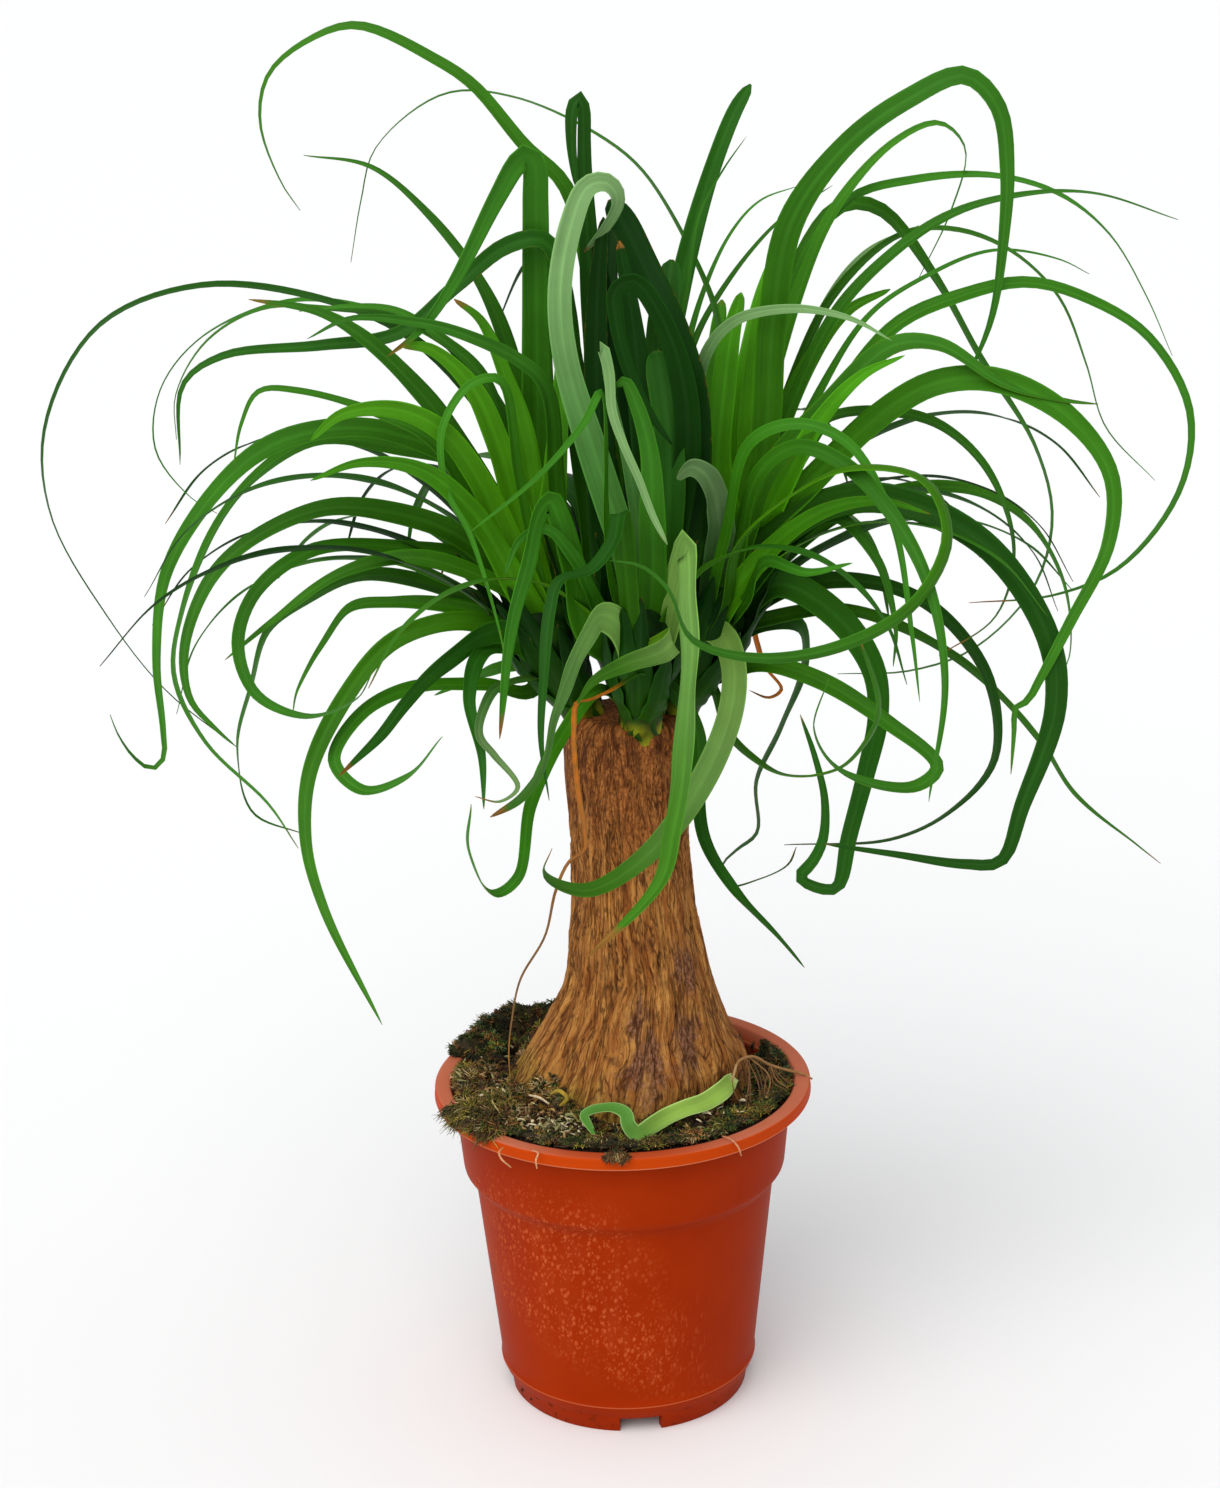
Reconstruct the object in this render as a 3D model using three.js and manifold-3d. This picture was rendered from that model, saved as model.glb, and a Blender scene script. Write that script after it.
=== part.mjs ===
// A ponytail palm in a terracotta-coloured plastic nursery pot. Millimetres, +Z up. The origin is
// in the middle of the pot's foot plane, +X is to the right and +Y away from whoever looks at it.
import * as THREE from "three";
import { mergeVertices } from "three/addons/utils/BufferGeometryUtils.js";
import Module from "manifold-3d";

const wasm = await Module();
wasm.setup();

// Driving dimensions.
const CLEARANCE = 0.3; // between pieces that touch on the real plant
const POT = {
  rim: 95, // outer radius of the rolled rim
  rimInside: 86.5,
  rimRound: 1.5, // how far the rim's edges are rounded off
  height: 167,
  lip: 6.5, // height of the rim's outer band
  wall: 1.6,
  bead: 16, // height of the bead round the wall's lower end
  beadRadius: 67,
  footHeight: 9,
  footRadius: 61,
  footWidth: 5,
  notchWidth: 21,
  notches: 4,
  notchTurn: -85, // degrees from +X of the first notch, near the middle of the front
  drains: 6,
  drainRadius: 5,
  drainCircle: 36,
  sides: 42,
};
const POT_FLOOR = POT.footHeight + POT.wall; // the height of the pot's inner floor
const POT_FLOOR_RADIUS = 60;
// The outer side of the wall between the bead and the rim, with its shoulder: height, radius.
const POT_WALL = [
  [POT.bead + 2.5, 65.6],
  [117, 76],
  [124, 81.6],
  [POT.height - POT.lip - 2, 84.9],
];
// The soil's top: its height at the low side, how much higher the heaped side and the middle are,
// the height of its bumps, how high its edge is, how far it stays off the wall, and the radii at
// which its top is measured, from the wall inwards.
const SOIL = {
  low: 151,
  heap: 13,
  crown: 9,
  bumps: 0.5,
  edge: 148,
  wallGap: 0.8,
  topRings: [81.6, 77, 70, 62, 40],
  sides: 36,
};
// Mats of moss: between which directions in degrees from +X and which radii they lie, how thick.
const MOSS = {
  moss_left: { from: 168, to: 201, inner: 67, outer: 83, thick: 4.5 },
  moss_rim_left: { from: 204, to: 226, inner: 67, outer: 93.5, thick: 5 },
  moss_front: { from: 229, to: 304, inner: 75, outer: 84.5, thick: 3 },
  moss_right: { from: 307, to: 388, inner: 71.5, outer: 83, thick: 3.5 },
  moss_rim_back: { from: 110, to: 162, inner: 67, outer: 92, thick: 13 },
  moss_rim_front: { from: 263, to: 272, inner: 89, outer: 94.5, thick: 2.5 },
};
const TRUNK = {
  root: 120, // the buried end
  top: 360,
  flutes: 0.035, // depth of the root lobes as a share of the radius, at soil level
  flutesUpTo: 260,
  ridge: 0.7, // height of the bark ridges
  sides: 36,
  levels: 14,
};
// The trunk's outline from the buried end up: height, radius, and how far its middle stands right.
const TRUNK_OUTLINE = [
  [120, 44, 0],
  [128, 55, 0],
  [145, 61, 0],
  [165, 60, 0.5],
  [180, 55, 4],
  [200, 44.3, 6.3],
  [220, 37.2, 8.6],
  [248, 32.4, 7.9],
  [280, 28.9, 6.7],
  [335, 30.4, 5.8],
  [352, 30, 5.8],
  [358, 27.5, 6],
  [360, 24, 6],
];
// A mat's underside lies this far above the coarse soil surface; its edge is this thick; its inner
// edge wanders this far; and it has this many strips from its inner to its outer edge.
const MAT = { lift: 0.8, edge: 0.9, wander: 3, strips: 4, degreesPerStep: 7 };
const SOCKET_DEPTH = 8; // how deep each head's stem stands in the trunk
// A head's stem swells into the bundle of leaf bases on it: height above its foot, and radius.
const BUNDLE = [
  [0, 9.5],
  [22, 12],
  [42, 16],
  [60, 16],
  [78, 0],
];
const BUNDLE_SIDES = 10;
const ROOT_OUT = 6; // how far from its stem's middle a leaf starts
const ROOT_SPAN = [0.25, 0.95]; // the shares of the stem between which leaves start
const GOLDEN = 0.618034; // the step that spreads the leaves' roots evenly over that stretch
// The foot of each head's stem, and the point that it grows towards.
const HEADS = {
  left: { foot: [-12, 0, 352], tip: [-30, -2, 394] },
  front: { foot: [12, -19, 352], tip: [14, -30, 402] },
  right: { foot: [27, 1, 352], tip: [46, 1, 400] },
  back: { foot: [8, 20, 352], tip: [6, 33, 402] },
};
// A blade's thickness at its keel, how much wider its clasping root is and over what share of its
// length, and how many stations it has, at least and at most.
const BLADE = {
  thick: 1.1,
  clasp: 0.25,
  claspReach: 0.05,
  stations: [6, 11],
};
const EYE = new THREE.Vector3(-2.5, -1298, 755); // where the front view is seen from

// The leaves that the front view shows. A leaf has its greatest width, how far behind its head's
// middle it lies halfway along and at its tip, how it is turned at its root and at its tip in
// degrees (0 shows its upper side to the front view, 90 shows it to the head's middle), and the
// route of its midrib. A route's points are millimetres right of the axis and above the floor, as
// the front view shows them against the upright plane through the pot's axis. A leaf keeps a share
// of its width at its tip, and loses the rest by a power of the share of its length.
const TAPER = [0.12, 2];
const leaf = (width, depth, turn, seen, tip = TAPER[0], fall = TAPER[1]) => {
  return { width, depth, turn, seen, taper: [tip, fall] };
};
const LEAVES = {
  left: [
    leaf(8, [50, 60], [50, 60], [
      [-51, 494], [-87, 541], [-132, 563], [-187, 570], [-235, 553], [-264, 506], [-265, 463],
      [-242, 413], [-217, 376], [-184, 346],
    ]),
    leaf(12, [40, 80], [20, 50], [
      [-37, 489], [-47, 543], [-60, 573], [-81, 601], [-105, 622], [-136, 628],
    ]),
    leaf(18, [15, -40], [5, 10], [
      [-34, 416], [-33, 489], [-32, 560], [-31, 605], [-31, 621], [-34, 626], [-39, 622],
      [-49, 606], [-69, 570], [-86, 547], [-102, 535],
    ]),
    leaf(11, [5, -30], [20, 40], [
      [-11, 416], [-15, 503], [-18, 559], [-27, 587], [-45, 585], [-69, 567], [-96, 546],
      [-133, 541], [-179, 537], [-198, 524], [-202, 486],
    ]),
    leaf(15, [-10, -20], [20, 50], [
      [-50, 451], [-72, 497], [-92, 524], [-116, 547], [-134, 557], [-165, 563],
    ]),
    leaf(12, [20, 30], [30, 60], [
      [-42, 465], [-57, 523], [-75, 542], [-96, 556], [-118, 559], [-142, 557],
    ]),
    leaf(10, [-20, -40], [20, 40], [
      [-25, 475], [-29, 520], [-41, 532], [-70, 546], [-90, 551], [-119, 553], [-139, 544],
    ]),
    leaf(7, [30, 40], [50, 60], [
      [-42, 475], [-70, 536], [-96, 553], [-128, 558], [-158, 559], [-186, 544], [-202, 519],
      [-203, 498],
    ]),
    leaf(7, [60, 80], [50, 60], [
      [-37, 475], [-57, 523], [-82, 545], [-114, 559], [-146, 562], [-187, 547], [-209, 522],
      [-213, 493], [-198, 470], [-186, 462],
    ]),
    leaf(8, [0, -10], [40, 50], [
      [-62, 456], [-82, 494], [-109, 509], [-144, 520], [-163, 520], [-172, 505], [-177, 484],
    ]),
    leaf(13, [10, -30], [25, 50], [
      [-47, 444], [-64, 480], [-100, 499], [-128, 502], [-160, 494], [-189, 470], [-212, 434],
      [-220, 391], [-219, 356], [-220, 341], [-226, 336], [-234, 342], [-241, 354], [-244, 364],
    ]),
    leaf(11, [30, -20], [35, 60], [
      [-46, 441], [-65, 482], [-102, 493], [-137, 497], [-166, 481], [-188, 455], [-206, 415],
      [-212, 383], [-199, 349], [-170, 316], [-157, 293],
    ]),
    leaf(12, [0, -50], [25, 50], [
      [-46, 422], [-68, 446], [-92, 458], [-133, 464], [-166, 452], [-191, 431], [-206, 396],
      [-205, 371], [-193, 355], [-184, 346],
    ]),
    leaf(9, [0, -140], [35, 60], [
      [-45, 421], [-67, 438], [-93, 443], [-140, 444], [-169, 425], [-180, 400], [-174, 374],
      [-150, 361], [-125, 369], [-116, 383],
    ]),
    leaf(10, [-20, -20], [45, 60], [
      [-44, 417], [-74, 434], [-97, 439], [-129, 432], [-163, 409], [-187, 390],
    ]),
    leaf(11, [30, 50], [40, 60], [
      [-49, 407], [-84, 425], [-116, 431], [-143, 421], [-165, 405], [-176, 375], [-184, 345],
      [-178, 312], [-153, 300],
    ]),
    leaf(9, [10, 20], [30, 50], [
      [-54, 407], [-79, 415], [-104, 417], [-125, 415], [-141, 395], [-153, 374], [-156, 362],
    ]),
    leaf(10, [-60, -140], [40, 65], [
      [-45, 397], [-72, 407], [-105, 398], [-128, 373], [-149, 333], [-153, 297], [-146, 261],
      [-120, 198],
    ]),
    leaf(13, [-60, -130], [25, 45], [
      [-40, 392], [-55, 401], [-90, 378], [-114, 350], [-135, 330],
    ]),
    leaf(9, [-40, -120], [40, 60], [
      [-41, 371], [-62, 375], [-98, 374], [-121, 363], [-137, 339], [-125, 323], [-102, 329],
      [-84, 349],
    ]),
    leaf(10, [30, 60], [40, 40], [
      [-36, 376], [-40, 385], [-56, 383], [-87, 370],
    ]),
    leaf(9, [-70, -100], [70, 110], [
      [-45, 392], [-63, 391], [-70, 368], [-65, 338], [-65, 311],
    ]),
    leaf(6, [-90, -130], [90, 120], [
      [-45, 377], [-58, 372], [-66, 350], [-59, 339], [-48, 322], [-57, 315], [-69, 318],
    ]),
    leaf(6, [-50, -70], [20, 60], [
      [-36, 436], [-43, 480], [-50, 523], [-64, 521], [-78, 500], [-77, 471], [-67, 450],
      [-55, 405], [-52, 387],
    ]),
    leaf(16, [-20, -30], [0, 20], [
      [-41, 446], [-51, 490], [-64, 521], [-82, 538], [-96, 540],
    ], 0.25),
    leaf(16, [-45, -60], [5, 30], [
      [-46, 436], [-61, 475], [-79, 500], [-100, 510], [-125, 508], [-140, 496],
    ], 0.2),
    leaf(15, [-5, 20], [5, 30], [
      [-34, 446], [-39, 494], [-48, 527], [-58, 551], [-70, 561],
    ], 0.25),
    leaf(14, [-55, -90], [0, 30], [
      [-44, 421], [-66, 461], [-89, 481], [-117, 485], [-141, 477],
    ]),
    leaf(16, [-6, 5], [0, 20], [
      [-28, 436], [-25, 484], [-21, 522], [-21, 550],
    ], 0.3),
  ],
  front: [
    leaf(15, [-10, 30], [0, 5], [
      [9, 430], [1, 459], [-9, 493], [-19, 531], [-21, 564], [-15, 594], [-7, 611], [1, 613],
      [6, 609], [7, 603], [1, 592], [-9, 581],
    ], 0.45),
    leaf(18, [10, 40], [0, 10], [
      [33, 434], [40, 473], [39, 511], [31, 544], [20, 571], [10, 593], [3, 605],
    ], 0.75),
    leaf(15, [-10, -20], [0, 20], [
      [27, 435], [37, 488], [34, 526], [23, 555], [13, 567], [5, 563], [5, 549], [11, 524],
      [20, 505], [30, 490],
    ], 0.2),
    leaf(18, [20, 40], [0, 10], [
      [14, 435], [14, 479], [9, 526], [0, 559], [-4, 588],
    ], 0.3),
    leaf(9, [-50, -80], [10, 75], [
      [16, 410], [10, 474], [0, 522], [-2, 538], [1, 525], [2, 507], [7, 491], [14, 474],
      [20, 457], [27, 442],
    ], 0.3, 1.2),
    leaf(14, [-80, -180], [50, 50], [
      [8, 385], [3, 403], [-5, 407], [-12, 398], [-20, 381], [-29, 357], [-35, 333], [-46, 317],
      [-62, 307],
    ], 0.12, 3),
    leaf(13, [-60, -110], [0, 20], [
      [-10, 396], [-18, 433], [-24, 456], [-28, 464], [-33, 458], [-40, 431], [-48, 405],
      [-53, 372], [-56, 347],
    ], 0.12, 3),
    leaf(11, [-70, -120], [150, 190], [
      [8, 420], [4, 459], [1, 445], [-10, 431], [-25, 426], [-30, 411], [-34, 376], [-36, 346],
      [-33, 315],
    ]),
    leaf(13, [-70, -115], [150, 175], [
      [20, 390], [30, 395], [25, 390], [5, 383], [-10, 375], [-18, 364],
    ]),
    leaf(8, [-35, -120], [20, 40], [
      [29, 369], [40, 347], [40, 319], [43, 293], [57, 267], [79, 241], [92, 224],
    ]),
    leaf(7, [-90, -200], [60, 60], [
      [5, 365], [-7, 371], [-27, 346], [-42, 313], [-49, 276], [-61, 267], [-73, 290],
      [-71, 314],
    ]),
    leaf(6, [-50, -80], [60, 70], [
      [-1, 435], [-3, 516], [-11, 502], [-33, 477], [-67, 450],
    ]),
    leaf(17, [10, 60], [0, 10], [
      [18, 435], [22, 493], [25, 540], [31, 577],
    ], 0.7),
    leaf(4, [-95, -115], [160, 190], [
      [13, 379], [-1, 371], [-12, 366], [-18, 365], [-20, 351], [-19, 323], [-16, 299],
      [-16, 289], [-24, 283], [-31, 268], [-37, 244], [-50, 221], [-55, 199], [-57, 183],
      [-57, 166],
    ], 0.12, 1),
    leaf(10, [-40, -70], [20, 60], [
      [-6, 411], [-17, 436], [-31, 451], [-43, 446], [-51, 429],
    ]),
    leaf(18, [15, 30], [0, 10], [
      [0, 420], [-3, 474], [-5, 522], [-4, 559], [0, 597],
    ], 0.3),
    leaf(17, [-5, 10], [0, 10], [
      [23, 415], [27, 454], [28, 497], [23, 535],
    ], 0.7),
    leaf(15, [-40, -50], [0, 10], [
      [19, 410], [20, 454], [19, 488], [13, 511], [8, 521], [4, 518],
    ], 0.3),
    leaf(15.5, [-85, -150], [-45, -72], [
      [24, 395], [29, 415], [33, 434], [35, 441], [36, 434], [36, 415], [37, 390], [35, 365],
      [33, 339], [31, 319], [27, 298], [21, 272], [-17, 231],
    ], 0.12, 4),
    leaf(17, [5, 22], [0, 10], [
      [21, 415], [19, 464], [16, 512], [12, 554], [7, 586],
    ], 0.3),
  ],
  right: [
    leaf(13, [-70, -165], [-55, -125], [
      [43, 401], [53, 396], [58, 381], [56, 357], [41, 321], [16, 287], [-14, 268], [-36, 276],
      [-32, 290],
    ], 0.12, 3),
    leaf(19, [-20, -60], [0, 60], [
      [47, 404], [52, 434], [52, 458], [47, 474], [39, 479], [32, 474],
    ], 0.35),
    leaf(12, [20, -20], [40, 50], [
      [55, 394], [71, 403], [90, 401], [93, 384], [81, 350], [69, 323], [69, 296], [59, 287],
      [52, 279], [55, 269], [70, 272], [84, 279], [88, 288],
    ]),
    leaf(15, [-20, -40], [20, 40], [
      [59, 402], [67, 415], [80, 422], [106, 407], [125, 379], [128, 355], [122, 325],
      [114, 292], [108, 266], [99, 266], [90, 272], [96, 280], [101, 291], [102, 312], [97, 335],
      [90, 356],
    ], 0.12, 1.3),
    leaf(7, [-60, -120], [60, 60], [
      [49, 369], [56, 347], [79, 327], [108, 328], [125, 347], [128, 361], [119, 393],
    ]),
    leaf(10, [0, -20], [35, 60], [
      [66, 409], [89, 421], [127, 421], [159, 404], [181, 372], [185, 331], [163, 304],
      [136, 291], [82, 289],
    ]),
    leaf(15, [-50, -80], [20, 50], [
      [57, 424], [76, 443], [106, 461], [136, 461], [179, 438], [209, 393], [214, 357],
      [199, 307], [189, 278], [171, 277], [136, 283], [102, 289],
    ]),
    leaf(10, [20, 20], [30, 60], [
      [80, 433], [123, 462], [170, 466], [198, 450], [216, 420], [220, 382], [213, 369],
    ]),
    leaf(15, [-10, -30], [10, 40], [
      [64, 434], [74, 494], [77, 543], [86, 593], [111, 627], [139, 647], [165, 657], [180, 643],
      [185, 614], [184, 582], [179, 546], [167, 515],
    ]),
    leaf(9, [30, 60], [30, 60], [
      [71, 496], [89, 560], [107, 600], [133, 628], [154, 636], [166, 624], [160, 597],
      [144, 563],
    ]),
    leaf(8, [40, 60], [30, 60], [
      [71, 501], [90, 571], [113, 603], [143, 611], [179, 612], [209, 603], [233, 584],
      [251, 555], [264, 527],
    ]),
    leaf(9, [20, 40], [30, 60], [
      [81, 496], [107, 551], [133, 578], [162, 596], [191, 603], [225, 603], [264, 590],
    ]),
    leaf(9, [-20, -40], [40, 60], [
      [95, 491], [133, 543], [166, 558], [195, 563], [225, 554], [253, 536], [273, 501],
      [270, 463], [244, 427], [212, 413], [171, 410],
    ]),
    leaf(7, [60, 80], [40, 60], [
      [76, 491], [104, 557], [136, 586], [161, 588], [187, 578], [210, 556], [224, 524],
      [234, 494], [258, 468],
    ]),
    leaf(10, [60, 40], [30, 60], [
      [71, 501], [90, 575], [109, 600], [127, 598], [153, 566], [174, 529], [201, 486],
      [210, 451], [202, 417], [175, 388], [144, 377], [108, 376],
    ]),
    leaf(14, [-30, -40], [20, 60], [
      [62, 444], [74, 475], [100, 505], [133, 535], [155, 535], [187, 515], [215, 507],
      [230, 505],
    ]),
    leaf(14, [-40, -60], [25, 50], [
      [54, 419], [70, 447], [93, 469], [126, 501], [154, 517], [184, 517], [217, 499],
      [237, 471], [237, 437], [220, 400], [205, 369], [200, 360], [195, 358], [194, 343],
      [193, 323],
    ]),
    leaf(8, [0, -10], [40, 60], [
      [76, 472], [102, 501], [130, 504], [156, 497], [180, 473], [192, 436], [184, 403],
      [157, 384],
    ]),
    leaf(7, [-60, -90], [40, 60], [
      [54, 444], [67, 491], [90, 499], [114, 488], [134, 451], [144, 394], [148, 361],
    ]),
    leaf(9, [-95, -200], [50, 70], [
      [59, 429], [70, 475], [89, 488], [115, 476], [147, 431], [160, 374], [153, 310],
    ]),
    leaf(9, [-120, -215], [60, 75], [
      [54, 409], [61, 441], [85, 463], [115, 477], [149, 470], [160, 443], [146, 412],
      [112, 391], [70, 385], [38, 395], [27, 420], [14, 432], [-1, 435],
    ]),
    leaf(8, [-60, -120], [60, 60], [
      [64, 414], [73, 433], [93, 427], [115, 431],
    ]),
    leaf(9, [-20, -40], [40, 60], [
      [81, 438], [106, 454], [127, 432], [136, 398], [135, 379],
    ]),
    leaf(9, [-60, -120], [50, 60], [
      [54, 378], [73, 382], [100, 373], [134, 350], [157, 328], [146, 318], [110, 327],
      [97, 348], [104, 374],
    ]),
    leaf(9, [50, 90], [20, 40], [
      [81, 501], [102, 555], [120, 578], [145, 590],
    ]),
    leaf(6, [10, 30], [40, 60], [
      [90, 496], [122, 549], [151, 568], [180, 578], [210, 573], [224, 566],
    ]),
    leaf(9, [10, -60], [10, 50], [
      [39, 478], [46, 532], [60, 548], [86, 553], [113, 548], [133, 537],
    ]),
    leaf(17, [12, 22], [0, 10], [
      [56, 434], [51, 478], [54, 513], [58, 541], [63, 561],
    ], 0.4),
    leaf(16, [20, 40], [0, 10], [
      [64, 443], [68, 511], [74, 557], [86, 585],
    ], 0.4),
    leaf(8, [20, 35], [40, 60], [
      [71, 404], [114, 408], [167, 382], [207, 340], [224, 313], [256, 285], [268, 275],
    ]),
    leaf(8, [100, 140], [50, 60], [
      [52, 463], [53, 544], [44, 572], [20, 616], [-1, 634], [-39, 652], [-71, 654], [-103, 631],
      [-111, 607], [-117, 579],
    ]),
    leaf(14, [20, 60], [0, 20], [
      [65, 443], [78, 491], [95, 529], [113, 552], [132, 561],
    ], 0.25),
    leaf(14, [-20, -60], [0, 20], [
      [64, 434], [83, 472], [99, 500], [119, 521], [139, 530],
    ]),
    leaf(16, [40, 100], [0, 20], [
      [61, 453], [64, 511], [73, 557], [86, 589], [97, 607],
    ], 0.35),
    leaf(12, [-40, -90], [10, 30], [
      [56, 414], [78, 441], [102, 457], [128, 461], [152, 454],
    ]),
    leaf(16, [60, 130], [0, 20], [
      [54, 444], [50, 497], [51, 535], [54, 558],
    ], 0.4),
    leaf(6, [60, 80], [30, 60], [
      [52, 414], [64, 414], [69, 394], [73, 381], [81, 369], [75, 365], [65, 369],
    ]),
  ],
  back: [
    leaf(12, [50, 70], [0, 40], [
      [3, 474], [-5, 559], [-17, 611], [-35, 630], [-57, 657], [-74, 669], [-109, 685],
      [-131, 679], [-150, 664], [-155, 643], [-147, 616], [-139, 603],
    ], 0.12, 1.3),
    leaf(12, [30, 60], [0, 5], [
      [16, 435], [25, 512], [33, 556], [41, 589], [51, 620], [61, 644], [68, 655],
    ], 0.62),
    leaf(4, [20, 40], [0, 10], [
      [24, 502], [37, 558], [44, 597], [55, 617], [66, 632],
    ]),
    leaf(5, [50, 80], [10, 40], [
      [27, 493], [44, 558], [58, 588], [72, 603], [89, 609],
    ]),
    leaf(6, [60, 100], [10, 40], [
      [24, 473], [41, 539], [58, 568], [80, 593], [105, 609],
    ]),
    leaf(11, [40, 90], [0, 20], [
      [-5, 455], [-15, 536], [-21, 573], [-34, 578], [-52, 546],
    ]),
    leaf(17, [40, 100], [0, 10], [
      [9, 454], [6, 512], [2, 559], [4, 598],
    ], 0.35),
    leaf(14, [20, 20], [10, 30], [
      [-2, 435], [-4, 512], [-7, 582], [-8, 614], [-8, 632], [-8, 646], [-10, 651], [-13, 646],
      [-14, 632], [-12, 610],
    ], 0.3),
  ],
};
// The leaves behind and beside those, by a rule: how many a head has, between which directions in
// degrees from +X, how far they reach, and how far past level their tips lean.
const HIDDEN_LEAVES = {
  left: { count: 9, from: 100, to: 200, reach: [220, 300], droop: [55, 85] },
  front: { count: 2, from: 190, to: 350, reach: [190, 260], droop: [60, 85] },
  right: { count: 9, from: -20, to: 80, reach: [220, 300], droop: [55, 85] },
  back: { count: 13, from: 55, to: 130, reach: [180, 245], droop: [45, 80] },
};
// How such a leaf starts, in degrees from upright, its width, how its lean grows, and its steps.
const RULE = { lean: [8, 32], width: [8, 13], power: 1.2, steps: 7 };
// A shed leaf that lies curled on the soil in front of the trunk: flat at its cut end, on edge
// where it loops. Each point is how far right, how far back and how far above the ground it is.
const FALLEN_LEAF = [
  [56, -26, 15.2],
  [49, -42, 12.2],
  [40, -52, 10.2],
  [30, -59, 10.2],
  [21, -64, 8.7],
  [13, -70, 6.7],
  [8, -74, 5.7],
  [5, -74, 6.2],
  [2, -73, 10.2],
  [1, -70, 13.7],
  [-4, -67, 15.2],
  [-10, -65, 14.2],
  [-16, -66, 13.2],
  [-19, -67, 11.7],
  [-17, -72, 9.2],
  [-14, -77, 6.2],
];
const FALLEN_LEAF_TURN = [-55, -55]; // degrees from lying flat, towards the front view
const FALLEN_LEAF_WIDTH = 9;
const FALLEN_LEAF_TAPER = [0.3, 3, -0.4]; // as a blade's taper, with a narrow cut end

// ---- Helpers ----

const radians = THREE.MathUtils.degToRad;
const mix = THREE.MathUtils.lerp;

// The same number from 0 to 1 for the same pair, spread evenly.
function chance(item, draw) {
  const wave = Math.sin(item * 12.9898 + draw * 78.233) * 43758.5453;
  return wave - Math.floor(wave);
}

// A closed three.js geometry as a manifold solid.
function solid(geometry) {
  const bare = geometry.clone();
  bare.deleteAttribute("normal");
  bare.deleteAttribute("uv");
  const merged = mergeVertices(bare, 1e-4);
  return new wasm.Manifold(
    new wasm.Mesh({
      numProp: 3,
      vertProperties: new Float32Array(merged.attributes.position.array),
      triVerts: new Uint32Array(merged.index.array),
    }),
  );
}

// A manifold solid as a three.js geometry.
function geometryOf(body) {
  const { vertProperties, triVerts } = body.getMesh();
  const geometry = new THREE.BufferGeometry();
  geometry.setAttribute("position", new THREE.BufferAttribute(vertProperties, 3));
  geometry.setIndex(new THREE.BufferAttribute(triVerts, 1));
  geometry.computeVertexNormals();
  return geometry;
}

const fuse = (bodies) => bodies.reduce((all, body) => all.add(body));

// A fused body without the hollows that its blades close off among themselves.
const filled = (body) => fuse(body.decompose().filter((skinned) => skinned.volume() > 0));

// A solid of revolution about +Z from a closed profile of [radius, height] points.
function turned(profile, sides) {
  const points = profile.map(([radius, height]) => new THREE.Vector2(radius, height));
  const shape = new THREE.LatheGeometry(points, sides).rotateX(Math.PI / 2);
  return solid(shape);
}

// A closed skin over rings of points: each ring has the same number of points, in the same turn,
// and the first and last rings are closed by a fan on their middle.
function skin(rings) {
  const around = rings[0].length;
  const points = rings.flat();
  const middle = (ring) =>
    ring.reduce((sum, p) => sum.add(p), new THREE.Vector3()).divideScalar(around);
  points.push(middle(rings[0]), middle(rings.at(-1)));
  const faces = [];
  for (let r = 0; r < rings.length - 1; r++) {
    for (let i = 0; i < around; i++) {
      const a = r * around + i;
      const b = r * around + ((i + 1) % around);
      faces.push(a, b, b + around, a, b + around, a + around);
    }
  }
  const lastRing = (rings.length - 1) * around;
  for (let i = 0; i < around; i++) {
    const next = (i + 1) % around;
    faces.push(next, i, points.length - 2);
    faces.push(lastRing + i, lastRing + next, points.length - 1);
  }
  return mesh(points, faces);
}

function mesh(points, faces) {
  const geometry = new THREE.BufferGeometry().setFromPoints(points);
  geometry.setIndex(faces);
  return geometry;
}

// Straight lines through the rows [place, value, ...], read at one place.
function between(rows, place, column) {
  const last = rows.length - 1;
  if (place <= rows[0][0]) return rows[0][column];
  if (place >= rows[last][0]) return rows[last][column];
  const i = rows.findIndex((row) => row[0] > place);
  const share = (place - rows[i - 1][0]) / (rows[i][0] - rows[i - 1][0]);
  return mix(rows[i - 1][column], rows[i][column], share);
}

// ---- Pot ----

function makePot() {
  const { rim, rimInside, rimRound, height, lip, wall, bead, beadRadius } = POT;
  const { footHeight, footRadius, footWidth } = POT;
  const profile = [
    [0, footHeight],
    [footRadius - footWidth, footHeight],
    [footRadius - footWidth, 0],
    [footRadius, 0],
    [footRadius + 0.5, footHeight],
    [beadRadius, bead - 1],
    [beadRadius, bead + 1],
    ...POT_WALL.map(([z, radius]) => [radius, z]),
    [rim - rimRound, height - lip],
    [rim, height - lip + rimRound],
    [rim, height - rimRound],
    [rim - rimRound, height],
    [rimInside + rimRound, height],
    [rimInside, height - rimRound],
    ...POT_WALL.map(([z, radius]) => [radius - wall, z]).toReversed(),
    [POT_FLOOR_RADIUS, POT_FLOOR],
    [0, POT_FLOOR],
  ];
  let pot = turned(profile, POT.sides);
  const notch = new THREE.BoxGeometry(3 * footWidth, POT.notchWidth, 1.6 * footHeight);
  const drain = new THREE.CylinderGeometry(POT.drainRadius, POT.drainRadius, 3 * wall, 12);
  drain.rotateX(Math.PI / 2).translate(POT.drainCircle, 0, POT_FLOOR - wall / 2);
  for (let i = 0; i < POT.notches; i++) {
    const cut = notch.clone().translate(footRadius, 0, 0);
    pot = pot.subtract(solid(cut.rotateZ(radians(POT.notchTurn + (360 / POT.notches) * i))));
  }
  for (let i = 0; i < POT.drains; i++) {
    pot = pot.subtract(solid(drain.clone().rotateZ(radians((360 / POT.drains) * (i + 0.5)))));
  }
  return pot;
}

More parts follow.
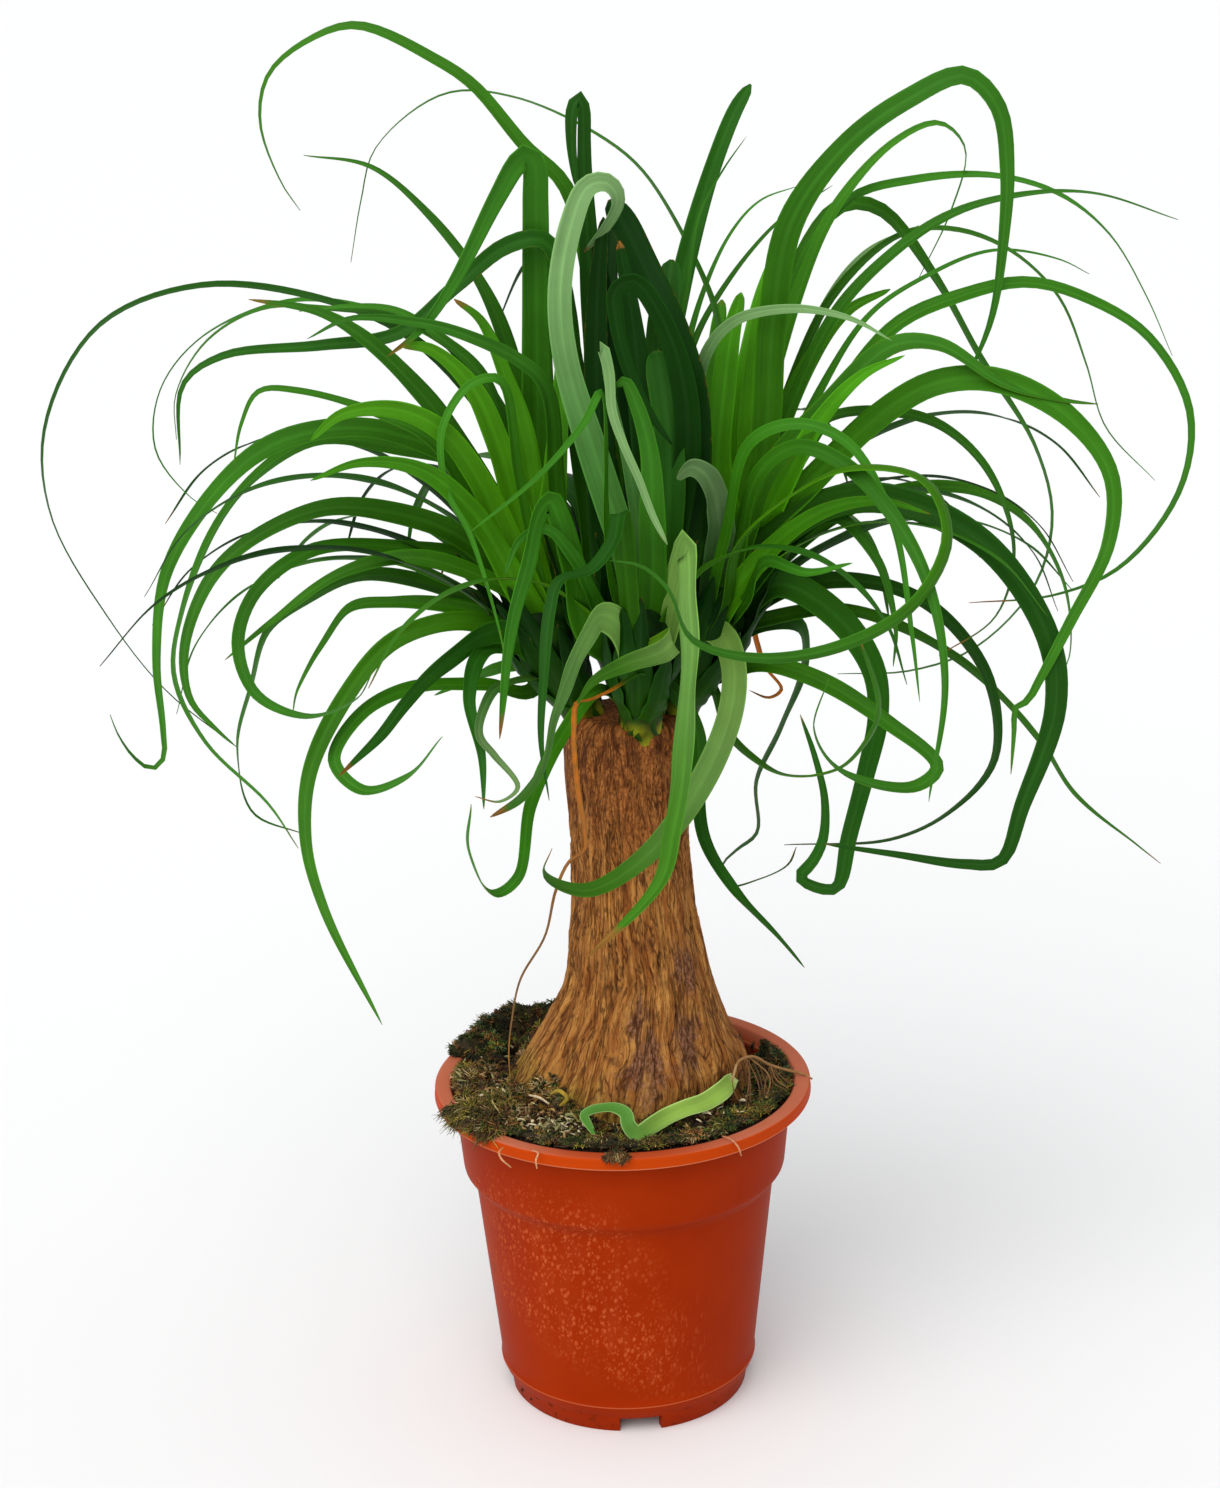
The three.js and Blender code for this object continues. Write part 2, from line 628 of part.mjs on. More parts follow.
// The pot's inner radius at a height.
function potInside(z) {
  const wallRows = POT_WALL.map(([height, radius]) => [height, radius - POT.wall]);
  const rows = [[POT_FLOOR, POT_FLOOR_RADIUS], ...wallRows];
  rows.push([POT.height - POT.rimRound, POT.rimInside]);
  return between(rows, z, 1);
}

// ---- Trunk ----

// The bark's radius at a height and a direction: the outline's radius, with root lobes that grow
// towards the soil and upright ridges that drift as they climb.
function barkRadius(z, turn, grow) {
  const base = between(TRUNK_OUTLINE, z, 1);
  const low = THREE.MathUtils.smoothstep(TRUNK.flutesUpTo - z, 0, 100);
  const lobes = Math.cos(5 * turn + 0.9) + 0.7 * Math.cos(3 * turn - 0.6);
  const ridges = Math.sin(11 * turn + z / 26) + 0.6 * Math.sin(17 * turn - z / 33);
  return base * (1 + TRUNK.flutes * low * lobes) + TRUNK.ridge * ridges + grow;
}

// The trunk, grown outwards all round by a clearance.
function trunkSkin(grow) {
  const { root, top, sides, levels } = TRUNK;
  const heights = Array.from({ length: levels + 1 }, (_, i) => mix(root, top - 8, i / levels));
  heights.push(top - 2, top);
  const rings = heights.map((z, level) => {
    const middle = between(TRUNK_OUTLINE, z, 2);
    const lift = level === 0 ? -grow : 0;
    return Array.from({ length: sides }, (_, i) => {
      const turn = (2 * Math.PI * i) / sides;
      const radius = barkRadius(z, turn, grow);
      return new THREE.Vector3(
        middle + radius * Math.cos(turn),
        radius * Math.sin(turn),
        z + lift,
      );
    });
  });
  return solid(skin(rings));
}

function makeTrunk() {
  const sockets = Object.values(HEADS).map((head) => stemSolid(head, CLEARANCE));
  return sockets.reduce((trunk, socket) => trunk.subtract(socket), trunkSkin(0));
}

// ---- Soil and moss ----

// How high the soil lies at a place: low at the back right, heaped up to the rim at the front and
// the left, and a little higher round the trunk.
function soilTop(x, y) {
  const heaped = THREE.MathUtils.smoothstep(-0.45 * x - 0.89 * y, -60, 30);
  const crown = 1 - Math.hypot(x, y) / POT.rimInside;
  const bumps = Math.sin(x / 7) * Math.cos(y / 8.3) + 0.5 * Math.sin(x / 3.9 + y / 5.1);
  return SOIL.low + SOIL.heap * heaped + SOIL.crown * crown + SOIL.bumps * bumps;
}

// Soil from the pot's floor up to its uneven top, with a plain hole that the trunk stands in.
function makeSoil() {
  const ring = (radius, height) =>
    Array.from({ length: SOIL.sides }, (_, i) => {
      const turn = (2 * Math.PI * i) / SOIL.sides;
      const x = radius * Math.cos(turn);
      const y = radius * Math.sin(turn);
      return new THREE.Vector3(x, y, height(x, y));
    });
  const shoulders = POT_WALL.slice(0, -1).map(([z]) => z);
  const wallHeights = [POT_FLOOR + CLEARANCE, ...shoulders, SOIL.edge];
  const rings = wallHeights.map((z) => ring(potInside(z) - SOIL.wallGap, () => z));
  for (const radius of SOIL.topRings) rings.push(ring(radius, soilTop));
  return solid(skin(rings)).subtract(trunkSkin(CLEARANCE));
}

// What lies under a thing on top of the pot: the soil, or the rim past its inner edge.
function ground(x, y) {
  const radius = Math.hypot(x, y);
  const overRim = THREE.MathUtils.smoothstep(radius, POT.rimInside - 9, POT.rimInside - 2.5);
  return mix(soilTop(x, y), Math.max(soilTop(x, y), POT.height), overRim);
}

// A mat of moss between two directions and two radii, with a cushioned, tufted top.
function mossMat({ from, to, inner, outer, thick }) {
  const along = Math.max(4, Math.round((to - from) / MAT.degreesPerStep));
  const across = MAT.strips;
  const hump = (share, edge) => Math.sin(Math.PI * mix(edge, 1 - edge, share));
  const points = [];
  const faces = [];
  for (const side of [0, 1]) {
    for (let i = 0; i <= along; i++) {
      for (let j = 0; j <= across; j++) {
        const u = i / along;
        const v = j / across;
        const ragged = (1 - v) * MAT.wander * Math.sin(7 * u + from);
        const turn = radians(mix(from, to, u));
        const radius = mix(inner, outer, v) + ragged;
        const x = radius * Math.cos(turn);
        const y = radius * Math.sin(turn);
        const dome = Math.sqrt(hump(u, 0.05) * hump(v, 0.1));
        const tufts = 0.75 + 0.5 * chance(i * 7 + j, from);
        const lift = side ? MAT.edge + thick * dome * tufts : 0;
        points.push(new THREE.Vector3(x, y, ground(x, y) + MAT.lift + lift));
      }
    }
  }
  const at = (side, i, j) => side * (along + 1) * (across + 1) + i * (across + 1) + j;
  const quad = (a, b, c, d) => faces.push(a, b, c, a, c, d);
  for (let i = 0; i < along; i++) {
    for (let j = 0; j < across; j++) {
      quad(at(1, i, j), at(1, i, j + 1), at(1, i + 1, j + 1), at(1, i + 1, j));
      quad(at(0, i, j), at(0, i + 1, j), at(0, i + 1, j + 1), at(0, i, j + 1));
    }
    quad(at(0, i, 0), at(1, i, 0), at(1, i + 1, 0), at(0, i + 1, 0));
    quad(at(0, i, across), at(0, i + 1, across), at(1, i + 1, across), at(1, i, across));
  }
  for (let j = 0; j < across; j++) {
    quad(at(0, 0, j), at(0, 0, j + 1), at(1, 0, j + 1), at(1, 0, j));
    quad(at(0, along, j), at(1, along, j), at(1, along, j + 1), at(0, along, j + 1));
  }
  return solid(mesh(points, faces));
}

// ---- Leaves ----

const vector = ([x, y, z]) => new THREE.Vector3(x, y, z);

// A head's stem and leaf bases: a turned bulb from the bottom of its socket to its pointed top.
function stemSolid(head, grow) {
  const foot = vector(head.foot);
  const axis = vector(head.tip).sub(foot).normalize();
  const points = [new THREE.Vector2(0, -SOCKET_DEPTH - grow)];
  points.push(new THREE.Vector2(BUNDLE[0][1] + grow, -SOCKET_DEPTH - grow));
  for (const [height, radius] of BUNDLE.slice(0, -1)) {
    points.push(new THREE.Vector2(radius + grow, height));
  }
  points.push(new THREE.Vector2(0, BUNDLE.at(-1)[0] + grow));
  const stand = new THREE.Quaternion().setFromUnitVectors(new THREE.Vector3(0, 1, 0), axis);
  const bulb = new THREE.LatheGeometry(points, BUNDLE_SIDES).applyQuaternion(stand);
  return solid(bulb.translate(foot.x, foot.y, foot.z));
}

// The point at depth y on the line of sight through a point of the upright plane.
function alongSight(right, up, y) {
  const direction = new THREE.Vector3(right, 0, up).sub(EYE);
  return EYE.clone().addScaledVector(direction, (y - EYE.y) / direction.y);
}

// Where a point shows on the upright plane, seen from the eye.
function onPlane(point) {
  const direction = point.clone().sub(EYE);
  const hit = EYE.clone().addScaledVector(direction, -EYE.y / direction.y);
  return [hit.x, hit.z];
}

// The leaf's root inside the stem, on the side that its upper face looks away from.
function rootOf(head, item, upperSide) {
  const share = mix(...ROOT_SPAN, (item * GOLDEN) % 1);
  const root = vector(head.foot).lerp(vector(head.tip), share);
  return root.addScaledVector(upperSide, -ROOT_OUT);
}

// A leaf of the front view: its route in space, which way its upper side looks at the root, and
// how far it twists towards its tip.
function seenLeaf(head, item, { width, depth, turn, seen, taper }) {
  const side = seen.at(-1)[0] < seen[0][0] ? 1 : -1;
  const start = radians(turn[0]);
  const upperSide = new THREE.Vector3(side * Math.sin(start), -Math.cos(start), 0);
  const root = rootOf(head, item, upperSide);
  const flat = [onPlane(root), ...seen];
  const steps = seen.map(([right, up], i) => Math.hypot(right - flat[i][0], up - flat[i][1]));
  const total = steps.reduce((sum, step) => sum + step, 0);
  const [halfway, end] = depth;
  let walked = 0;
  const route = seen.map(([right, up], i) => {
    walked += steps[i];
    const t = walked / total;
    const y = root.y + t * (4 * halfway - end) + t * t * (2 * end - 4 * halfway);
    return alongSight(right, up, y);
  });
  return { width, route: [root, ...route], turn, side, taper };
}

// A leaf by rule: it leaves its stem steeply and leans over more and more towards its tip.
function ruledLeaf(head, item, { count, from, to, reach, droop }) {
  const heading = radians(mix(from, to, (item + 0.2 + 0.6 * chance(item, 1)) / count));
  const out = new THREE.Vector3(Math.cos(heading), Math.sin(heading), 0);
  const root = rootOf(head, item + 0.5, out.clone().negate());
  const length = mix(...reach, chance(item, 2));
  const leanStart = radians(mix(...RULE.lean, chance(item, 3)));
  const leanEnd = radians(90 + mix(...droop, chance(item, 4)));
  const { steps } = RULE;
  const route = [root];
  for (let i = 0; i < steps; i++) {
    const lean = mix(leanStart, leanEnd, Math.pow((i + 0.5) / steps, RULE.power));
    const step = out.clone().multiplyScalar(Math.sin(lean));
    step.z = Math.cos(lean);
    route.push(route.at(-1).clone().addScaledVector(step, length / steps));
  }
  return { width: mix(...RULE.width, chance(item, 5)), route, upper: out.negate() };
}

// A blade's width at a share of its length: a clasping root, then a slow taper to a narrow tip.
function bladeWidth(width, [tip, fall, clasp = BLADE.clasp], share) {
  const root = clasp * Math.exp(-Math.pow(share / BLADE.claspReach, 2));
  return width * (1 - (1 - tip) * Math.pow(share, fall)) * (1 + root);
}

// A closed three-sided blade along a route: two edges on the upper side and a keel below. The
// section is carried along without spin and then twisted from the root's turn to the tip's.
function blade({ width, route, turn = [0, 0], side = 1, upper, taper = TAPER }) {
  const curve = new THREE.CatmullRomCurve3(route, false, "centripetal");
  const wanted = Math.round(0.8 * route.length) + 1;
  const stations = THREE.MathUtils.clamp(wanted, ...BLADE.stations);
  const points = [];
  const faces = [];
  const forward = curve.getTangentAt(0);
  const carried = (upper ?? new THREE.Vector3(0, -1, 0)).clone();
  carried.addScaledVector(forward, -carried.dot(forward)).normalize();
  const fine = 6;
  for (let i = 0; i < stations; i++) {
    const share = i / (stations - 1);
    for (let k = 1; i && k <= fine; k++) {
      const tangent = curve.getTangentAt(share - (1 - k / fine) / (stations - 1));
      carried.addScaledVector(tangent, -carried.dot(tangent)).normalize();
    }
    const tangent = curve.getTangentAt(share);
    const across = tangent.clone().cross(carried);
    const angle = radians(mix(...turn, share));
    const up = carried.clone().multiplyScalar(Math.cos(angle));
    up.addScaledVector(across, side * Math.sin(angle));
    const wide = tangent.clone().cross(up).multiplyScalar(bladeWidth(width, taper, share) / 2);
    const middle = curve.getPointAt(share);
    points.push(middle.clone().add(wide), middle.clone().sub(wide));
    points.push(middle.clone().addScaledVector(up, -BLADE.thick));
  }
  for (let i = 0; i < stations - 1; i++) {
    for (let j = 0; j < 3; j++) {
      const a = 3 * i + j;
      const b = 3 * i + ((j + 1) % 3);
      faces.push(a, b, b + 3, a, b + 3, a + 3);
    }
  }
  const last = 3 * (stations - 1);
  faces.push(2, 1, 0, last, last + 1, last + 2);
  const body = solid(mesh(points, faces));
  return body.volume() < 0 ? solid(mesh(points, faces.toReversed())) : body;
}

function makeHead(name) {
  const head = HEADS[name];
  const blades = LEAVES[name].map((row, i) => blade(seenLeaf(head, i, row)));
  const rule = HIDDEN_LEAVES[name];
  for (let i = 0; i < rule.count; i++) blades.push(blade(ruledLeaf(head, i, rule)));
  return filled(fuse([stemSolid(head, 0), ...blades]));
}

function makeFallenLeaf() {
  const route = FALLEN_LEAF.map(([x, y, lift]) => new THREE.Vector3(x, y, ground(x, y) + lift));
  const upper = new THREE.Vector3(0, 0, 1);
  const shape = { width: FALLEN_LEAF_WIDTH, turn: FALLEN_LEAF_TURN, taper: FALLEN_LEAF_TAPER };
  return blade({ ...shape, route, upper });
}

// ---- The plant ----

const finish = (color, roughness) => new THREE.MeshStandardMaterial({ color, roughness });
const group = new THREE.Group();

function add(name, body, material) {
  const piece = new THREE.Mesh(geometryOf(body), material);
  piece.name = name;
  group.add(piece);
}

add("pot", makePot(), finish(0xc4572c, 0.45));
add("potting_soil", makeSoil(), finish(0x2b2119, 0.95));
add("trunk", makeTrunk(), finish(0x9a6338, 0.9));
for (const [name, mat] of Object.entries(MOSS)) add(name, mossMat(mat), finish(0x56612a, 0.95));
add("leaf_head_left", makeHead("left"), finish(0x2f7a1c, 0.5));
add("leaf_head_front", makeHead("front"), finish(0x3b8a22, 0.5));
add("leaf_head_right", makeHead("right"), finish(0x2f7a1c, 0.5));
add("leaf_head_back", makeHead("back"), finish(0x2a6a1a, 0.5));
add("fallen_leaf", makeFallenLeaf(), finish(0x77a83a, 0.6));

export default group;
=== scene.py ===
"""A ponytail palm in a terracotta-coloured nursery pot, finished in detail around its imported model.

Shapes are worked out in millimetres and become metres when a piece is made. +Z is up, the origin
is in the middle of the pot's foot plane, +X is right and +Y away from the front view.
"""

import bpy
import numpy as np
from mathutils import Matrix


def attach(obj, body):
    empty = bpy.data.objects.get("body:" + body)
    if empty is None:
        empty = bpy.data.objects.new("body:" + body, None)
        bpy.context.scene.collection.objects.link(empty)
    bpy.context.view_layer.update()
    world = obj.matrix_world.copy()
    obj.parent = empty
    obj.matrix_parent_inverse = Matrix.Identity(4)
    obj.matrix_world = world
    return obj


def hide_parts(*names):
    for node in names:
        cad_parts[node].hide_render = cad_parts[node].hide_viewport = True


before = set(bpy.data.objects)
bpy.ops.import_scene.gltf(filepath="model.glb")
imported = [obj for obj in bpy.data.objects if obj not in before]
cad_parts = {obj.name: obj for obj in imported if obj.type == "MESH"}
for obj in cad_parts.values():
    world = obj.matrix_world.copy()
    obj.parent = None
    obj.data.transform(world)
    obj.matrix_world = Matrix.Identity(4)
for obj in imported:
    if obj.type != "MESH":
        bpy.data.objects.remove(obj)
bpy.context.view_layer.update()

MM = 0.001
TURN = 2 * np.pi


def rgb(code):
    """A colour as seen, 0xRRGGBB, as linear light."""
    seen = np.array([(code >> shift & 255) / 255 for shift in (16, 8, 0)])
    return np.where(seen <= 0.04045, seen / 12.92, ((seen + 0.055) / 1.055) ** 2.4)


# ---- Driving sizes, in millimetres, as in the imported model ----

POT = {
    "rim": 95,  # outer radius of the rolled rim
    "rim_inside": 86.5,
    "rim_round": 1.5,
    "height": 167,
    "lip": 6.5,  # height of the rim's outer band
    "wall": 1.6,
    "bead": 16,  # height of the bead round the wall's lower end
    "bead_radius": 67,
    "bead_trim": 0.95,  # how much slimmer the finished bead is
    "foot_height": 9,
    "foot_radius": 61,
    "foot_width": 5,
    "notch_width": 21,
    "notch_height": 7.2,
    "notches": 4,
    "notch_turn": -85,  # degrees from +X of the first notch
    "drains": 6,
    "drain_radius": 5,
    "drain_circle": 36,
    "floor_radius": 60,
}
POT_FLOOR = POT["foot_height"] + POT["wall"]
# Corners of the wall's outer side, from the bead up: radius, height.
POT_WALL = {"foot": (65.6, 18.5), "waist": (76, 117), "shoulder": (81.6, 124), "neck": (84.9, 158.5)}
# The rounded step between the waist and the shoulder: radius, height.
POT_STEP = [(75.85, 115.6), (76.15, 117.1), (77.6, 118.9), (80.2, 121.6), (81.3, 123.2), (81.65, 124.6)]
# The soil's level at its lowest, how far it is heaped above that at the front left and towards the
# trunk, and its level along the wall.
SOIL = {"low": 151, "heap": 13, "crown": 9, "edge": 152}
# Kinds of moss and litter: dark green, olive, brown, straw and blue green; the colour near the
# ground, along the strands, and at their tips.
MOSS_KINDS = np.array([
    [rgb(0x0C1006), rgb(0x24320E), rgb(0x72842C)],
    [rgb(0x161406), rgb(0x544C12), rgb(0xBAA644)],
    [rgb(0x1C1006), rgb(0x60391A), rgb(0xB4824A)],
    [rgb(0x241A0C), rgb(0x7A6238), rgb(0xD4C090)],
    [rgb(0x0C140A), rgb(0x263C20), rgb(0x6C8C5C)],
])
# Mats of moss: between which directions in degrees from +X and which radii they lie, how thick, the
# shares of the kinds of moss, how many tufts, their strands' length, and how far they fall outwards.
MOSS = {
    "moss_left": {
        "span": (168, 201), "radii": (67, 83), "thick": 4.5,
        "kinds": (0.2, 0.24, 0.34, 0.22, 0), "tufts": 260, "length": 4.2, "drape": 0.2,
    },
    "moss_rim_left": {
        "span": (204, 226), "radii": (67, 93.5), "thick": 5,
        "kinds": (0.1, 0.48, 0.2, 0.22, 0), "tufts": 330, "length": 9, "drape": 0.9,
    },
    "moss_front": {
        "span": (229, 304), "radii": (75, 84.5), "thick": 3,
        "kinds": (0.5, 0.24, 0.16, 0.1, 0), "tufts": 420, "length": 4, "drape": 0.25,
    },
    "moss_right": {
        "span": (307, 388), "radii": (71.5, 83), "thick": 3.5,
        "kinds": (0.46, 0.24, 0.2, 0.02, 0.08), "tufts": 480, "length": 4.2, "drape": 0.15,
    },
    "moss_rim_back": {
        "span": (110, 162), "radii": (67, 92), "thick": 13,
        "kinds": (0.5, 0.12, 0.26, 0.04, 0.08), "tufts": 620, "length": 4.8, "drape": 0.35,
    },
    "moss_rim_front": {
        "span": (265, 270), "radii": (91, 95.3), "thick": 2.5,
        "kinds": (0.12, 0.05, 0.65, 0.18, 0), "tufts": 60, "length": 4.2, "drape": 1.3,
    },
}
FIRST_MOSS_SEED = 50  # the first mat's random draws, and the next number for each mat after it
STRANDS = 12  # strands in a tuft
# The low moss and litter between the mats: how far from the axis it goes, tufts on the soil and on
# the bark's foot, the pieces that it makes, its strands, and its kinds on the left and elsewhere.
CARPET = {
    "reach": 81, "tufts": 1000, "climbing": 560, "pieces": 3, "length": 3.8, "drape": 0.1,
    "left": (0.2, 0.2, 0.36, 0.24, 0), "elsewhere": (0.42, 0.24, 0.22, 0.06, 0.06),
}
# Dry flakes: how many, how many of them lie in one pale heap, its middle, and how wide it spreads.
FLAKES = {"count": 560, "heaped": 70, "heap": (-33, -62), "spread": (6, 3)}
# Loose crumbs: how many, between which radii, and the size of the largest.
CRUMBS = {"count": 1500, "from": 50, "to": 81, "largest": 2.1}
# The trunk's ends, its root lobes as a share of its radius and up to which height, and its ridges.
TRUNK = {"root": 120, "top": 360, "flutes": 0.035, "flutes_up_to": 260, "ridge": 0.7}
# Purple-brown stains on the bark: direction, height, and how far they reach across and up.
STAINS = [(312, 232, 8, 18), (306, 200, 10, 24), (276, 190, 13, 20), (268, 212, 6, 12), (60, 220, 14, 25)]
# The trunk's outline from the buried end up: height, radius, and how far its middle stands right.
TRUNK_OUTLINE = [
    (120, 44, 0), (128, 55, 0), (145, 61, 0), (165, 60, 0.5), (180, 55, 4), (200, 44.3, 6.3),
    (220, 37.2, 8.6), (248, 32.4, 7.9), (280, 28.9, 6.7), (335, 30.4, 5.8), (352, 30, 5.8),
    (358, 27.5, 6), (360, 24, 6),
]
# The bundle of leaf bases on each head's stem: height above the stem's foot, and radius.
BUNDLE = [(-8, 9.5), (0, 9.5), (22, 12), (42, 16), (60, 16), (78, 0.05)]
ROOT_OUT = 6  # how far from its stem's middle a leaf starts
ROOT_SPAN = (0.25, 0.95)  # the shares of the stem between which leaves start
GOLDEN = 0.618034  # the step that spreads the leaves' roots evenly over that stretch
# The foot of each head's stem, and the point that it grows towards.
HEADS = {
    "left": ((-12, 0, 352), (-30, -2, 394)),
    "front": ((12, -19, 352), (14, -30, 402)),
    "right": ((27, 1, 352), (46, 1, 400)),
    "back": ((8, 20, 352), (6, 33, 402)),
}
EYE = np.array([-2.5, -1298, 755])  # where the front view is seen from
# A shed leaf on the soil: how far right, how far back and how far above the ground each point is.
FALLEN_LEAF = [
    (56, -26, 15.2), (49, -42, 12.2), (40, -52, 10.2), (30, -59, 10.2), (21, -64, 8.7), (13, -70, 6.7),
    (8, -74, 5.7), (5, -74, 6.2), (2, -73, 10.2), (1, -70, 13.7), (-4, -67, 15.2), (-10, -65, 14.2),
    (-16, -66, 13.2), (-19, -67, 11.7), (-17, -72, 9.2), (-14, -77, 6.2),
]
FALLEN_LEAF_TURN = -55  # degrees from lying flat, towards the front view
FALLEN_LEAF_WIDTH = 9
FALLEN_LEAF_TAPER = (0.3, 3, -0.4)
# A root that arches from the shed leaf's end over the right rim: right, back and up.
ARCHED_ROOT = [
    (55.7, -25.9, 178), (57, -25.5, 184.5), (64.6, -17.5, 184), (73.9, -11.6, 176.5), (84.3, -6.1, 170.6),
    (90.5, -5, 168.4), (95.6, -5.4, 165.5),
]
# Single fibres, straws and roots: a route as right, back and up, a thickness, and a colour.
BITS = [
    (ARCHED_ROOT, 1.7, 0x9A7040),
    ([(56.1, -28.4, 184), (56, -32, 186), (53.6, -38.1, 180)], 1.3, 0xA88454),
    ([(-57.9, -81.5, 168.2), (-59.7, -85.8, 168), (-58.5, -89.8, 166.3), (-54, -90.4, 162)], 1, 0xC88A5C),
    ([(-44, -84, 167.6), (-41.1, -88.2, 168), (-42.1, -90.4, 165.6), (-41.8, -90.2, 161)], 0.9, 0xD09468),
    ([(47, -75, 168.5), (51, -79, 168.6), (54.3, -82, 166), (55.8, -81.4, 161)], 1, 0xC08058),
    ([(-46.2, -39.4, 175.9), (-40.6, -45.2, 176.9), (-36.2, -48.9, 175.3)], 1.4, 0xC8B490),
    (
        [(-35.1, -49.7, 181), (-30.6, -54.5, 184.6), (-27.2, -55.7, 181.4), (-30.8, -52.5, 175.8)],
        2.2, 0xA08428,
    ),
    ([(-29, -44.5, 173), (-25.6, -51.7, 172), (-22.2, -55.7, 169)], 1.5, 0xA8985C),
    ([(-33, -80, 167.5), (-28, -83.5, 169), (-22, -82, 170)], 0.8, 0x3A2412),
    ([(-66, -60, 168), (-72, -58, 172), (-78, -52, 171), (-84, -50, 168)], 0.8, 0xA89858),
    ([(-60, -52, 172), (-64, -44, 175), (-63, -36, 172)], 0.8, 0xB8A468),
]

# ---- View and light ----

# The front view: how far it looks down and is rolled, in degrees, and its lens, in millimetres.
CAMERA = {"pitch": 17.6, "roll": 1.3, "lens": 67.74, "sensor": 36}
# The dome's strength, and the lamp's strength, spread in degrees and turn in degrees.
LIGHT = {"dome": 0.72, "lamp": 2.1, "spread": 60, "turn": (38, -22, 0)}
FLOOR_REACH = 30  # metres

# ---- Leaves, in millimetres and degrees ----

# Leaf colours: the upper side, the under side, more yellow as painted light shining through the leaf, and
# the end.
# The dark tone paints shade on leaves deep in the crown. The bright tone paints light shining through the
# inner fans. The grey tone paints the pale sheen of the sky on faces turned up, most at the end.
TONES = {
    "green": (rgb(0x2C640C), rgb(0x3C7606), rgb(0x34701A)),
    "deep": (rgb(0x1C4C0A), rgb(0x285C04), rgb(0x225412)),
    "dark": (rgb(0x0A2E04), rgb(0x143C02), rgb(0x0E3406)),
    "bright": (rgb(0x468C08), rgb(0x549806), rgb(0x448A14)),
    "fresh": (rgb(0x6A954C), rgb(0x4C7C1C), rgb(0x376C16)),
    "grey": (rgb(0x3A6A2C), rgb(0x305E1C), rgb(0x688C56)),
    "dry": (rgb(0xA85A1A), rgb(0x98480F), rgb(0xB8641C)),
    "withered": (rgb(0xB86A20), rgb(0xA05A18), rgb(0x6A5844)),
}
CLASP = 0.25  # how much wider a leaf is where it clasps its stem
TAPER = (0.12, 2, CLASP)  # the share of its width that a leaf keeps, how it falls, and its clasp


def leaf(width, depth=(0, 0), turn=(0, 0), seen=(), tone="green", tip=TAPER[0], fall=TAPER[1], fresh=2):
    """A leaf: its greatest width, how it is turned at its root and at its tip in degrees (0 shows
    its upper side to the front view), and its colours. Its end keeps the share `tip` of the width;
    the rest goes by the power `fall` of the length. Past the share `fresh` of its length it is
    dry. For a leaf that the front view shows, `seen` is the route of its midrib, as millimetres
    right of the axis and above the floor against the upright plane through the axis, and `depth`
    is how far behind its head's middle it lies halfway along and at its tip."""
    kept = {"width": width, "depth": depth, "turn": turn, "seen": seen, "tone": tone, "fresh": fresh}
    return {**kept, "taper": (tip, fall, CLASP)}


